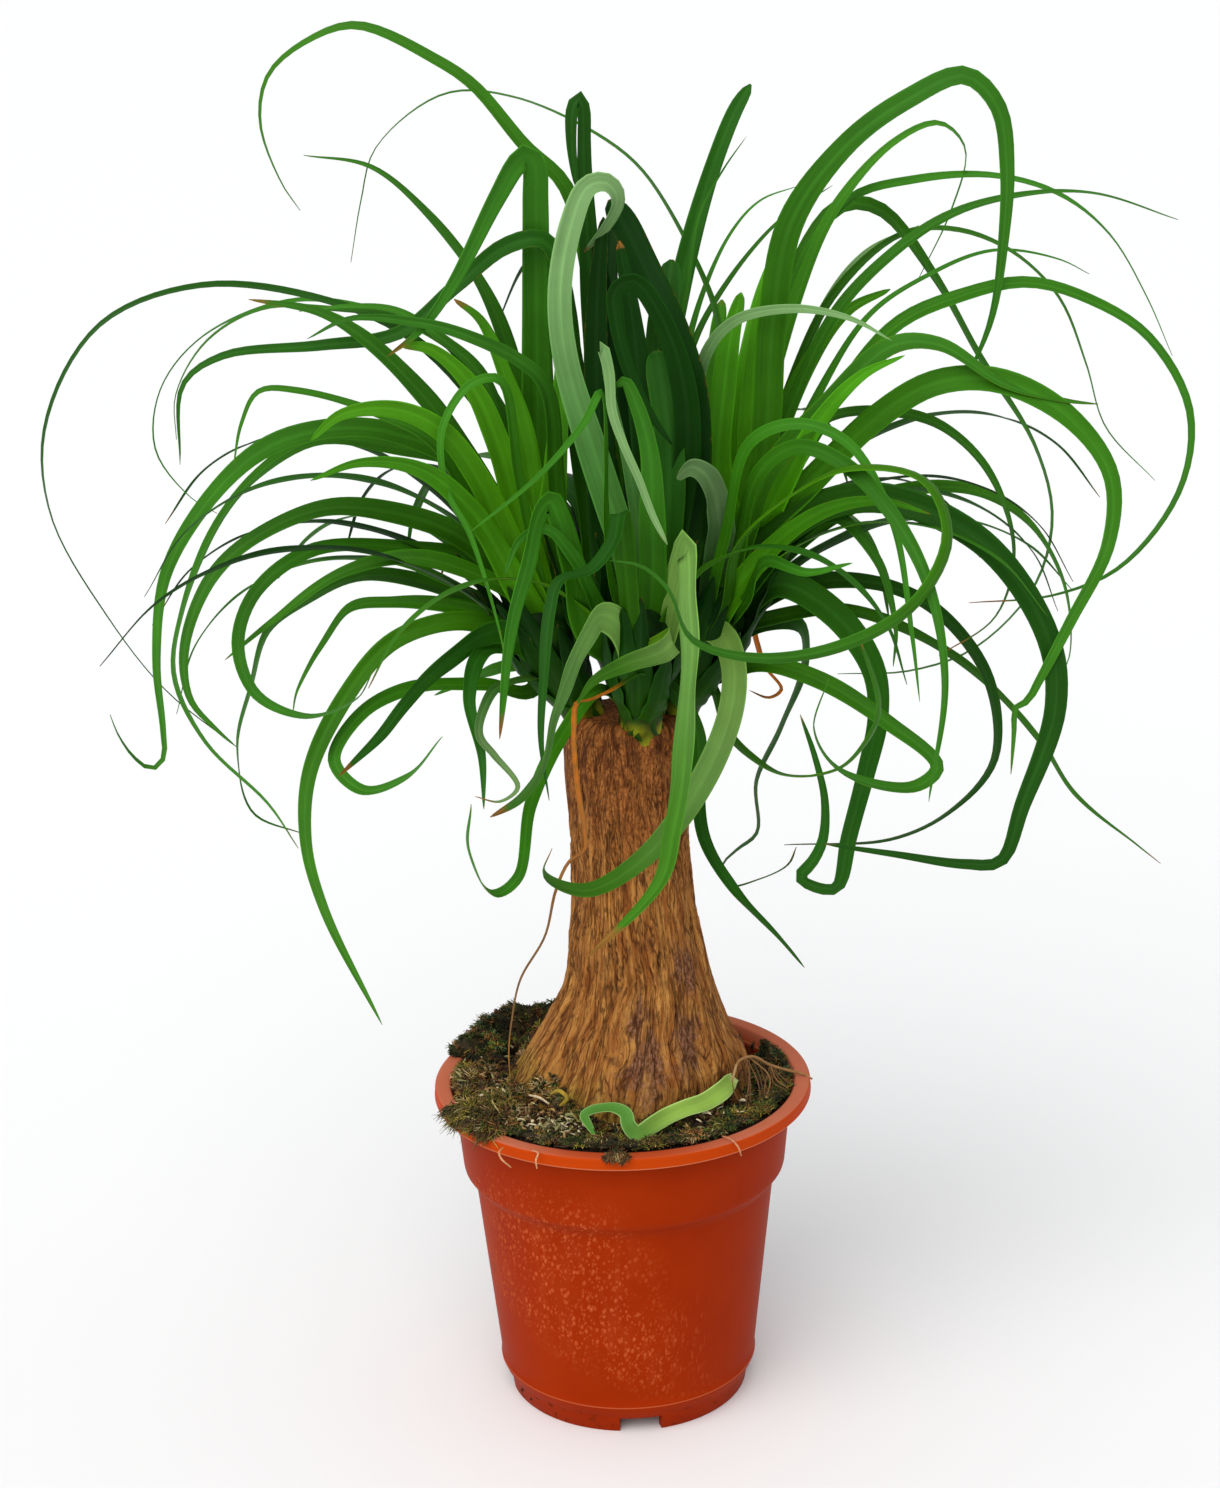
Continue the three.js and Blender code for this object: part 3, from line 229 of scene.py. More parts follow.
LEAVES = {
    "left": [
        leaf(8, (50, 60), (50, 60), [
            (-51, 494), (-87, 541), (-132, 563), (-187, 570), (-235, 553), (-264, 506),
            (-265, 463), (-242, 413), (-217, 376), (-184, 346),
        ], "deep"),
        leaf(12, (40, 80), (20, 50), [
            (-37, 489), (-47, 543), (-60, 573), (-81, 601), (-105, 622), (-136, 628),
        ]),
        leaf(18, (15, -40), (5, 10), [
            (-34, 416), (-33, 489), (-32, 560), (-31, 605), (-31, 621), (-34, 626), (-39, 622),
            (-49, 606), (-69, 570), (-86, 547), (-102, 535),
        ]),
        leaf(11, (5, -30), (20, 40), [
            (-11, 416), (-15, 503), (-18, 559), (-27, 587), (-45, 585), (-69, 567), (-96, 546),
            (-133, 541), (-179, 537), (-198, 524), (-202, 486),
        ], "deep"),
        leaf(15, (-10, -20), (20, 50), [
            (-50, 451), (-72, 497), (-92, 524), (-116, 547), (-134, 557), (-165, 563),
        ]),
        leaf(12, (20, 30), (30, 60), [
            (-42, 465), (-57, 523), (-75, 542), (-96, 556), (-118, 559), (-142, 557),
        ]),
        leaf(10, (-20, -40), (20, 40), [
            (-25, 475), (-29, 520), (-41, 532), (-70, 546), (-90, 551), (-119, 553), (-139, 544),
        ]),
        leaf(7, (30, 40), (50, 60), [
            (-42, 475), (-70, 536), (-96, 553), (-128, 558), (-158, 559), (-186, 544),
            (-202, 519), (-203, 498),
        ]),
        leaf(7, (60, 80), (50, 60), [
            (-37, 475), (-57, 523), (-82, 545), (-114, 559), (-146, 562), (-187, 547),
            (-209, 522), (-213, 493), (-198, 470), (-186, 462),
        ]),
        leaf(8, (0, -10), (40, 50), [
            (-62, 456), (-82, 494), (-109, 509), (-144, 520), (-163, 520), (-172, 505),
            (-177, 484),
        ]),
        leaf(13, (10, -30), (25, 50), [
            (-47, 444), (-64, 480), (-100, 499), (-128, 502), (-160, 494), (-189, 470),
            (-212, 434), (-220, 391), (-219, 356), (-220, 341), (-226, 336), (-234, 342),
            (-241, 354), (-244, 364),
        ]),
        leaf(11, (30, -20), (35, 60), [
            (-46, 441), (-65, 482), (-102, 493), (-137, 497), (-166, 481), (-188, 455),
            (-206, 415), (-212, 383), (-199, 349), (-170, 316), (-157, 293),
        ]),
        leaf(12, (0, -50), (25, 50), [
            (-46, 422), (-68, 446), (-92, 458), (-133, 464), (-166, 452), (-191, 431),
            (-206, 396), (-205, 371), (-193, 355), (-184, 346),
        ]),
        leaf(9, (0, -140), (35, 60), [
            (-45, 421), (-67, 438), (-93, 443), (-140, 444), (-169, 425), (-180, 400),
            (-174, 374), (-150, 361), (-125, 369), (-116, 383),
        ]),
        leaf(10, (-20, -20), (45, 60), [
            (-44, 417), (-74, 434), (-97, 439), (-129, 432), (-163, 409), (-187, 390),
        ]),
        leaf(11, (30, 50), (40, 60), [
            (-49, 407), (-84, 425), (-116, 431), (-143, 421), (-165, 405), (-176, 375),
            (-184, 345), (-178, 312), (-153, 300),
        ]),
        leaf(9, (10, 20), (30, 50), [
            (-54, 407), (-79, 415), (-104, 417), (-125, 415), (-141, 395), (-153, 374),
            (-156, 362),
        ]),
        leaf(10, (-60, -140), (40, 65), [
            (-45, 397), (-72, 407), (-105, 398), (-128, 373), (-149, 333), (-153, 297),
            (-146, 261), (-120, 198),
        ]),
        leaf(13, (-60, -130), (25, 45), [
            (-40, 392), (-55, 401), (-90, 378), (-114, 350), (-135, 330),
        ], "deep"),
        leaf(9, (-40, -120), (40, 60), [
            (-41, 371), (-62, 375), (-98, 374), (-121, 363), (-137, 339), (-125, 323),
            (-102, 329), (-84, 349),
        ]),
        leaf(10, (30, 60), (40, 40), [
            (-36, 376), (-40, 385), (-56, 383), (-87, 370),
        ]),
        leaf(9, (-70, -100), (70, 110), [
            (-45, 392), (-63, 391), (-70, 368), (-65, 338), (-65, 311),
        ], "deep"),
        leaf(6, (-90, -130), (90, 120), [
            (-45, 377), (-58, 372), (-66, 350), (-59, 339), (-48, 322), (-57, 315), (-69, 318),
        ], "grey"),
        leaf(6, (-50, -70), (20, 60), [
            (-36, 436), (-43, 480), (-50, 523), (-64, 521), (-78, 500), (-77, 471), (-67, 450),
            (-55, 405), (-52, 387),
        ]),
        leaf(16, (-20, -30), (0, 20), [
            (-41, 446), (-51, 490), (-64, 521), (-82, 538), (-96, 540),
        ], "bright", tip=0.25),
        leaf(16, (-45, -60), (5, 30), [
            (-46, 436), (-61, 475), (-79, 500), (-100, 510), (-125, 508), (-140, 496),
        ], "bright", tip=0.2),
        leaf(15, (-5, 20), (5, 30), [
            (-34, 446), (-39, 494), (-48, 527), (-58, 551), (-70, 561),
        ], "bright", tip=0.25),
        leaf(14, (-55, -90), (0, 30), [
            (-44, 421), (-66, 461), (-89, 481), (-117, 485), (-141, 477),
        ], "bright"),
        leaf(16, (-6, 5), (0, 20), [
            (-28, 436), (-25, 484), (-21, 522), (-21, 550),
        ], "bright", tip=0.3),
    ],
    "front": [
        leaf(15, (-10, 30), (0, 5), [
            (9, 430), (1, 459), (-9, 493), (-19, 531), (-21, 564), (-15, 594), (-7, 611),
            (1, 613), (6, 609), (7, 603), (1, 592), (-9, 581),
        ], "grey", tip=0.45),
        leaf(18, (10, 40), (0, 10), [
            (33, 434), (40, 473), (39, 511), (31, 544), (20, 571), (10, 593), (3, 605),
        ], "dark", tip=0.75),
        leaf(15, (-10, -20), (0, 20), [
            (27, 435), (37, 488), (34, 526), (23, 555), (13, 567), (5, 563), (5, 549), (11, 524),
            (20, 505), (30, 490),
        ], "dark", tip=0.2),
        leaf(18, (20, 40), (0, 10), [
            (14, 435), (14, 479), (9, 526), (0, 559), (-4, 588),
        ], "dark", tip=0.3),
        leaf(9, (-50, -80), (10, 75), [
            (16, 410), (10, 474), (0, 522), (-2, 538), (1, 525), (2, 507), (7, 491), (14, 474),
            (20, 457), (27, 442),
        ], "grey", tip=0.3, fall=1.2),
        leaf(14, (-80, -180), (50, 50), [
            (8, 385), (3, 403), (-5, 407), (-12, 398), (-20, 381), (-29, 357), (-35, 333),
            (-46, 317), (-62, 307),
        ], "fresh", fall=3),
        leaf(13, (-60, -110), (0, 20), [
            (-10, 396), (-18, 433), (-24, 456), (-28, 464), (-33, 458), (-40, 431), (-48, 405),
            (-53, 372), (-56, 347),
        ], fall=3),
        leaf(11, (-70, -120), (150, 190), [
            (8, 420), (4, 459), (1, 445), (-10, 431), (-25, 426), (-30, 411), (-34, 376),
            (-36, 346), (-33, 315),
        ], "deep"),
        leaf(13, (-70, -115), (150, 175), [
            (20, 390), (30, 395), (25, 390), (5, 383), (-10, 375), (-18, 364),
        ], "fresh"),
        leaf(8, (-35, -120), (20, 40), [
            (29, 369), (40, 347), (40, 319), (43, 293), (57, 267), (79, 241), (92, 224),
        ], "deep"),
        leaf(7, (-90, -200), (60, 60), [
            (5, 365), (-7, 371), (-27, 346), (-42, 313), (-49, 276), (-61, 267), (-73, 290),
            (-71, 314),
        ]),
        leaf(6, (-50, -80), (60, 70), [
            (-1, 435), (-3, 516), (-11, 502), (-33, 477), (-67, 450),
        ]),
        leaf(17, (10, 60), (0, 10), [
            (18, 435), (22, 493), (25, 540), (31, 577),
        ], "deep", tip=0.7),
        leaf(4, (-95, -115), (160, 190), [
            (13, 379), (-1, 371), (-12, 366), (-18, 365), (-20, 351), (-19, 323), (-16, 299),
            (-16, 289), (-24, 283), (-31, 268), (-37, 244), (-50, 221), (-55, 199), (-57, 183),
            (-57, 166),
        ], "withered", fall=1),
        leaf(10, (-40, -70), (20, 60), [
            (-6, 411), (-17, 436), (-31, 451), (-43, 446), (-51, 429),
        ]),
        leaf(18, (15, 30), (0, 10), [
            (0, 420), (-3, 474), (-5, 522), (-4, 559), (0, 597),
        ], "dark", tip=0.3),
        leaf(17, (-5, 10), (0, 10), [
            (23, 415), (27, 454), (28, 497), (23, 535),
        ], "deep", tip=0.7),
        leaf(15, (-40, -50), (0, 10), [
            (19, 410), (20, 454), (19, 488), (13, 511), (8, 521), (4, 518),
        ], "green", tip=0.3),
        leaf(15.5, (-85, -150), (-45, -72), [
            (24, 395), (29, 415), (33, 434), (35, 441), (36, 434), (36, 415), (37, 390),
            (35, 365), (33, 339), (31, 319), (27, 298), (21, 272), (-17, 231),
        ], "fresh", fall=4, fresh=0.9),
        leaf(17, (5, 22), (0, 10), [
            (21, 415), (19, 464), (16, 512), (12, 554), (7, 586),
        ], "dark", tip=0.3),
    ],
    "right": [
        leaf(13, (-70, -165), (-55, -125), [
            (43, 401), (53, 396), (58, 381), (56, 357), (41, 321), (16, 287), (-14, 268),
            (-36, 276), (-32, 290),
        ], "fresh", fall=3, fresh=0.95),
        leaf(19, (-20, -60), (0, 60), [
            (47, 404), (52, 434), (52, 458), (47, 474), (39, 479), (32, 474),
        ], "grey", tip=0.35),
        leaf(12, (20, -20), (40, 50), [
            (55, 394), (71, 403), (90, 401), (93, 384), (81, 350), (69, 323), (69, 296),
            (59, 287), (52, 279), (55, 269), (70, 272), (84, 279), (88, 288),
        ], "deep"),
        leaf(15, (-20, -40), (20, 40), [
            (59, 402), (67, 415), (80, 422), (106, 407), (125, 379), (128, 355), (122, 325),
            (114, 292), (108, 266), (99, 266), (90, 272), (96, 280), (101, 291), (102, 312),
            (97, 335), (90, 356),
        ], "deep", fall=1.3),
        leaf(7, (-60, -120), (60, 60), [
            (49, 369), (56, 347), (79, 327), (108, 328), (125, 347), (128, 361), (119, 393),
        ]),
        leaf(10, (0, -20), (35, 60), [
            (66, 409), (89, 421), (127, 421), (159, 404), (181, 372), (185, 331), (163, 304),
            (136, 291), (82, 289),
        ], "deep"),
        leaf(15, (-50, -80), (20, 50), [
            (57, 424), (76, 443), (106, 461), (136, 461), (179, 438), (209, 393), (214, 357),
            (199, 307), (189, 278), (171, 277), (136, 283), (102, 289),
        ], "deep"),
        leaf(10, (20, 20), (30, 60), [
            (80, 433), (123, 462), (170, 466), (198, 450), (216, 420), (220, 382), (213, 369),
        ]),
        leaf(15, (-10, -30), (10, 40), [
            (64, 434), (74, 494), (77, 543), (86, 593), (111, 627), (139, 647), (165, 657),
            (180, 643), (185, 614), (184, 582), (179, 546), (167, 515),
        ]),
        leaf(9, (30, 60), (30, 60), [
            (71, 496), (89, 560), (107, 600), (133, 628), (154, 636), (166, 624), (160, 597),
            (144, 563),
        ]),
        leaf(8, (40, 60), (30, 60), [
            (71, 501), (90, 571), (113, 603), (143, 611), (179, 612), (209, 603), (233, 584),
            (251, 555), (264, 527),
        ]),
        leaf(9, (20, 40), (30, 60), [
            (81, 496), (107, 551), (133, 578), (162, 596), (191, 603), (225, 603), (264, 590),
        ]),
        leaf(9, (-20, -40), (40, 60), [
            (95, 491), (133, 543), (166, 558), (195, 563), (225, 554), (253, 536), (273, 501),
            (270, 463), (244, 427), (212, 413), (171, 410),
        ]),
        leaf(7, (60, 80), (40, 60), [
            (76, 491), (104, 557), (136, 586), (161, 588), (187, 578), (210, 556), (224, 524),
            (234, 494), (258, 468),
        ]),
        leaf(10, (60, 40), (30, 60), [
            (71, 501), (90, 575), (109, 600), (127, 598), (153, 566), (174, 529), (201, 486),
            (210, 451), (202, 417), (175, 388), (144, 377), (108, 376),
        ]),
        leaf(14, (-30, -40), (20, 60), [
            (62, 444), (74, 475), (100, 505), (133, 535), (155, 535), (187, 515), (215, 507),
            (230, 505),
        ]),
        leaf(14, (-40, -60), (25, 50), [
            (54, 419), (70, 447), (93, 469), (126, 501), (154, 517), (184, 517), (217, 499),
            (237, 471), (237, 437), (220, 400), (205, 369), (200, 360), (195, 358), (194, 343),
            (193, 323),
        ]),
        leaf(8, (0, -10), (40, 60), [
            (76, 472), (102, 501), (130, 504), (156, 497), (180, 473), (192, 436), (184, 403),
            (157, 384),
        ]),
        leaf(7, (-60, -90), (40, 60), [
            (54, 444), (67, 491), (90, 499), (114, 488), (134, 451), (144, 394), (148, 361),
        ]),
        leaf(9, (-95, -200), (50, 70), [
            (59, 429), (70, 475), (89, 488), (115, 476), (147, 431), (160, 374), (153, 310),
        ]),
        leaf(9, (-120, -215), (60, 75), [
            (54, 409), (61, 441), (85, 463), (115, 477), (149, 470), (160, 443), (146, 412),
            (112, 391), (70, 385), (38, 395), (27, 420), (14, 432), (-1, 435),
        ]),
        leaf(8, (-60, -120), (60, 60), [
            (64, 414), (73, 433), (93, 427), (115, 431),
        ]),
        leaf(9, (-20, -40), (40, 60), [
            (81, 438), (106, 454), (127, 432), (136, 398), (135, 379),
        ]),
        leaf(9, (-60, -120), (50, 60), [
            (54, 378), (73, 382), (100, 373), (134, 350), (157, 328), (146, 318), (110, 327),
            (97, 348), (104, 374),
        ]),
        leaf(9, (50, 90), (20, 40), [
            (81, 501), (102, 555), (120, 578), (145, 590),
        ], "grey"),
        leaf(6, (10, 30), (40, 60), [
            (90, 496), (122, 549), (151, 568), (180, 578), (210, 573), (224, 566),
        ]),
        leaf(9, (10, -60), (10, 50), [
            (39, 478), (46, 532), (60, 548), (86, 553), (113, 548), (133, 537),
        ], "grey"),
        leaf(17, (12, 22), (0, 10), [
            (56, 434), (51, 478), (54, 513), (58, 541), (63, 561),
        ], "bright", tip=0.4),
        leaf(16, (20, 40), (0, 10), [
            (64, 443), (68, 511), (74, 557), (86, 585),
        ], "bright", tip=0.4),
        leaf(8, (20, 35), (40, 60), [
            (71, 404), (114, 408), (167, 382), (207, 340), (224, 313), (256, 285), (268, 275),
        ]),
        leaf(8, (100, 140), (50, 60), [
            (52, 463), (53, 544), (44, 572), (20, 616), (-1, 634), (-39, 652), (-71, 654),
            (-103, 631), (-111, 607), (-117, 579),
        ]),
        leaf(14, (20, 60), (0, 20), [
            (65, 443), (78, 491), (95, 529), (113, 552), (132, 561),
        ], "bright", tip=0.25),
        leaf(14, (-20, -60), (0, 20), [
            (64, 434), (83, 472), (99, 500), (119, 521), (139, 530),
        ], "bright"),
        leaf(16, (40, 100), (0, 20), [
            (61, 453), (64, 511), (73, 557), (86, 589), (97, 607),
        ], "bright", tip=0.35),
        leaf(12, (-40, -90), (10, 30), [
            (56, 414), (78, 441), (102, 457), (128, 461), (152, 454),
        ], "bright"),
        leaf(16, (60, 130), (0, 20), [
            (54, 444), (50, 497), (51, 535), (54, 558),
        ], "bright", tip=0.4),
        leaf(6, (60, 80), (30, 60), [
            (52, 414), (64, 414), (69, 394), (73, 381), (81, 369), (75, 365), (65, 369),
        ], "dry"),
    ],
    "back": [
        leaf(12, (50, 70), (0, 40), [
            (3, 474), (-5, 559), (-17, 611), (-35, 630), (-57, 657), (-74, 669), (-109, 685),
            (-131, 679), (-150, 664), (-155, 643), (-147, 616), (-139, 603),
        ], fall=1.3),
        leaf(12, (30, 60), (0, 5), [
            (16, 435), (25, 512), (33, 556), (41, 589), (51, 620), (61, 644), (68, 655),
        ], "deep", tip=0.62),
        leaf(4, (20, 40), (0, 10), [
            (24, 502), (37, 558), (44, 597), (55, 617), (66, 632),
        ]),
        leaf(5, (50, 80), (10, 40), [
            (27, 493), (44, 558), (58, 588), (72, 603), (89, 609),
        ]),
        leaf(6, (60, 100), (10, 40), [
            (24, 473), (41, 539), (58, 568), (80, 593), (105, 609),
        ]),
        leaf(11, (40, 90), (0, 20), [
            (-5, 455), (-15, 536), (-21, 573), (-34, 578), (-52, 546),
        ], "dark"),
        leaf(17, (40, 100), (0, 10), [
            (9, 454), (6, 512), (2, 559), (4, 598),
        ], "dark", tip=0.35),
        leaf(14, (20, 20), (10, 30), [
            (-2, 435), (-4, 512), (-7, 582), (-8, 614), (-8, 632), (-8, 646), (-10, 651),
            (-13, 646), (-14, 632), (-12, 610),
        ], "deep", tip=0.3),
    ],
}
# The leaf bases on each head's bundle: how many, how wide, between which lengths, between what
# heights they start, and how far their tips lean away.
SHEATHS = {"count": 13, "width": 15, "reach": (52, 88), "start": 30, "flare": 7}
# The leaves that the front view doesn't show, by a rule: how many a head has, between which
# directions in degrees from +X, how far they reach, and how far past level their tips lean.
HIDDEN_LEAVES = {
    "left": {"count": 9, "span": (100, 200), "reach": (220, 300), "droop": (55, 85)},
    "front": {"count": 2, "span": (190, 350), "reach": (190, 260), "droop": (60, 85)},
    "right": {"count": 9, "span": (-20, 80), "reach": (220, 300), "droop": (55, 85)},
    "back": {"count": 13, "span": (55, 130), "reach": (180, 245), "droop": (45, 80)},
}
# How such a leaf starts, in degrees from upright, its width, how its lean grows, its steps, and
# the colours that such leaves take in turn.
RULE = {"lean": (8, 32), "width": (8, 13), "power": 1.2, "steps": 7, "tones": ("green", "deep", "dark")}


# ---- Numbers over whole arrays ----


def mix(low, high, share):
    return low + (high - low) * share


def step(value, low, high):
    """0 below low, 1 above high, and a smooth S between them."""
    share = np.clip((value - low) / (high - low), 0, 1)
    return share * share * (3 - 2 * share)


def chance(item, draw):
    """The same number from 0 to 1 for the same pair: the fraction of a steep sine."""
    wave = np.sin(item * 12.9898 + draw * 78.233) * 43758.5453
    return wave - np.floor(wave)


def patchy(x, y, seed, wrap=64):
    """Value noise from -1 to 1: random heights on a square lattice, joined by smooth steps. It
    repeats after `wrap` cells of x and 64 cells of y."""
    heights = np.random.default_rng(seed).uniform(-1, 1, (wrap, 64))
    i, j = np.floor(x).astype(int), np.floor(y).astype(int)
    u, v = step(x - i, 0, 1), step(y - j, 0, 1)
    near = mix(heights[i % wrap, j % 64], heights[(i + 1) % wrap, j % 64], u)
    far = mix(heights[i % wrap, (j + 1) % 64], heights[(i + 1) % wrap, (j + 1) % 64], u)
    return mix(near, far, v)


def unit(vectors):
    return vectors / np.maximum(np.linalg.norm(vectors, axis=-1, keepdims=True), 1e-9)


def flowing(points, samples=14):
    """A smooth curve through points: on each stretch a cubic whose end slopes weigh the steps to
    the neighbours by the root of their length (centripetal Catmull-Rom)."""
    points = np.asarray(points, float)
    ends = 2 * points[0] - points[1], 2 * points[-1] - points[-2]
    p = np.vstack([ends[0], points, ends[1]])
    gap = np.sqrt(np.linalg.norm(np.diff(p, axis=0), axis=1))[:, None, None]
    before, here, after = gap[:-2], gap[1:-1], gap[2:]
    p0, p1, p2, p3 = (p[i : len(p) - 3 + i, None] for i in range(4))
    leave = here * ((p1 - p0) / before - (p2 - p0) / (before + here) + (p2 - p1) / here)
    arrive = here * ((p2 - p1) / here - (p3 - p1) / (here + after) + (p3 - p2) / after)
    t = np.linspace(0, 1, samples, endpoint=False)[None, :, None]
    curve = (2 * t**3 - 3 * t**2 + 1) * p1 + (t**3 - 2 * t**2 + t) * leave
    curve = curve + (3 * t**2 - 2 * t**3) * p2 + (t**3 - t**2) * arrive
    return np.vstack([curve.reshape(-1, p.shape[1]), points[-1]])


def evenly(line, count):
    """`count` points at equal steps of length along a line of points."""
    walked = np.concatenate([[0], np.cumsum(np.linalg.norm(np.diff(line, axis=0), axis=1))])
    places = np.linspace(0, walked[-1], count)
    return np.stack([np.interp(places, walked, line[:, axis]) for axis in range(3)], -1)


# ---- Pieces ----


def skin_faces(skins, stations, around):
    """Four-sided faces of closed skins: skin t has `stations` rings of `around` points (an even
    number). Faces join each ring to the next, and the end rings are closed by rows of faces
    between the points that face each other across the ring."""
    start = np.arange(skins)[:, None, None] * stations * around
    ring = start + np.arange(stations - 1)[None, :, None] * around
    place = np.arange(around)[None, None, :]
    after = (place + 1) % around
    sides = np.stack([ring + place, ring + after, ring + around + after, ring + around + place], -1)
    half = np.arange(around // 2 - 1)[None, None, :]
    across = [half, half + 1, around - 2 - half, around - 1 - half]
    first = np.stack([start + place for place in across[::-1]], -1)
    last = np.stack([start + (stations - 1) * around + place for place in across], -1)
    return np.concatenate([sides.reshape(-1, 4), first.reshape(-1, 4), last.reshape(-1, 4)])


def outward(points, faces):
    """The faces turned round if the volume that they enclose is negative: the sum over faces of
    the corner vectors' triple products."""
    a, b, c, d = (points[faces[:, corner]] for corner in range(4))
    volume = np.sum(a * np.cross(b, c)) + np.sum(a * np.cross(c, d))
    return faces if volume > 0 else faces[:, ::-1]


# The kinds of attribute that aren't a plain number for each point, and the key of their values.
LAYER_KINDS = {"tint": ("FLOAT_COLOR", "color"), "flow": ("FLOAT_VECTOR", "vector")}


def piece(name, batches, finish, stands_for=()):
    """One object that rides on the root. Each batch is (rings, layers): rings are points indexed
    by skin, station and place round the ring; layers are values for the material, one for each of
    those points, three wide for a colour; `place` is its map across and along, and `flow` a map
    in space that follows its grain. Every face has four corners."""
    points, faces, kept = [], [], {}
    count = 0
    for rings, layers in batches:
        skins, stations, around, _ = rings.shape
        flat = rings.reshape(-1, 3)
        faces.append(outward(flat, skin_faces(skins, stations, around)) + count)
        points.append(flat)
        count += len(flat)
        for layer, values in layers.items():
            values = np.asarray(values, float)
            wide = (values.shape[-1],) if layer == "place" or layer in LAYER_KINDS else ()
            full = np.broadcast_to(values, rings.shape[:3] + wide)
            kept.setdefault(layer, []).append(full.reshape((-1, *wide)))
    points, faces = np.concatenate(points) * MM, np.concatenate(faces)
    mesh = bpy.data.meshes.new(name)
    mesh.vertices.add(len(points))
    mesh.vertices.foreach_set("co", points.astype(np.float32).ravel())
    mesh.loops.add(faces.size)
    mesh.loops.foreach_set("vertex_index", faces.astype(np.int32).ravel())
    mesh.polygons.add(len(faces))
    mesh.polygons.foreach_set("loop_start", np.arange(0, faces.size, 4, dtype=np.int32))
    mesh.polygons.foreach_set("use_smooth", np.ones(len(faces), bool))
    mesh.update(calc_edges=True)
    for layer, values in kept.items():
        values = np.concatenate(values).astype(np.float32)
        if layer == "place":
            uv = mesh.uv_layers.new(name=layer)
            uv.uv.foreach_set("vector", values[faces.ravel()].ravel())
            continue
        kind, key = LAYER_KINDS.get(layer, ("FLOAT", "value"))
        if layer == "tint":
            values = np.column_stack([values, np.ones(len(values), np.float32)])
        mesh.attributes.new(layer, kind, "POINT").data.foreach_set(key, values.ravel())
    made = bpy.data.objects.new(name, mesh)
    bpy.context.scene.collection.objects.link(made)
    mesh.materials.append(finish)
    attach(made, "root")
    if stands_for:
        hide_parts(*stands_for)
    return made


# ---- Finishes ----


class Wire:
    """An output of a finish's nodes. Arithmetic on it adds Math nodes."""

    def __init__(self, finish, socket):
        self.finish = finish
        self.socket = socket

    def math(self, operation, first, second):
        return self.finish.node("Math", {"operation": operation}, {0: first, 1: second})

    def __add__(self, other):
        return self.math("ADD", self, other)

    def __sub__(self, other):
        return self.math("SUBTRACT", self, other)

    def __mul__(self, other):
        return self.math("MULTIPLY", self, other)

    def __radd__(self, other):
        return self.math("ADD", other, self)

    def __rsub__(self, other):
        return self.math("SUBTRACT", other, self)

    def __rmul__(self, other):
        return self.math("MULTIPLY", other, self)

    def __abs__(self):
        return self.math("ABSOLUTE", self, 0)

    def step(self, low, high):
        """0 below low and 1 above high, or the other way round if low is more than high."""
        kind = {"interpolation_type": "SMOOTHSTEP"}
        if low < high:
            return self.finish.node("MapRange", kind, {0: self, 1: low, 2: high})
        return 1 - self.finish.node("MapRange", kind, {0: self, 1: high, 2: low})


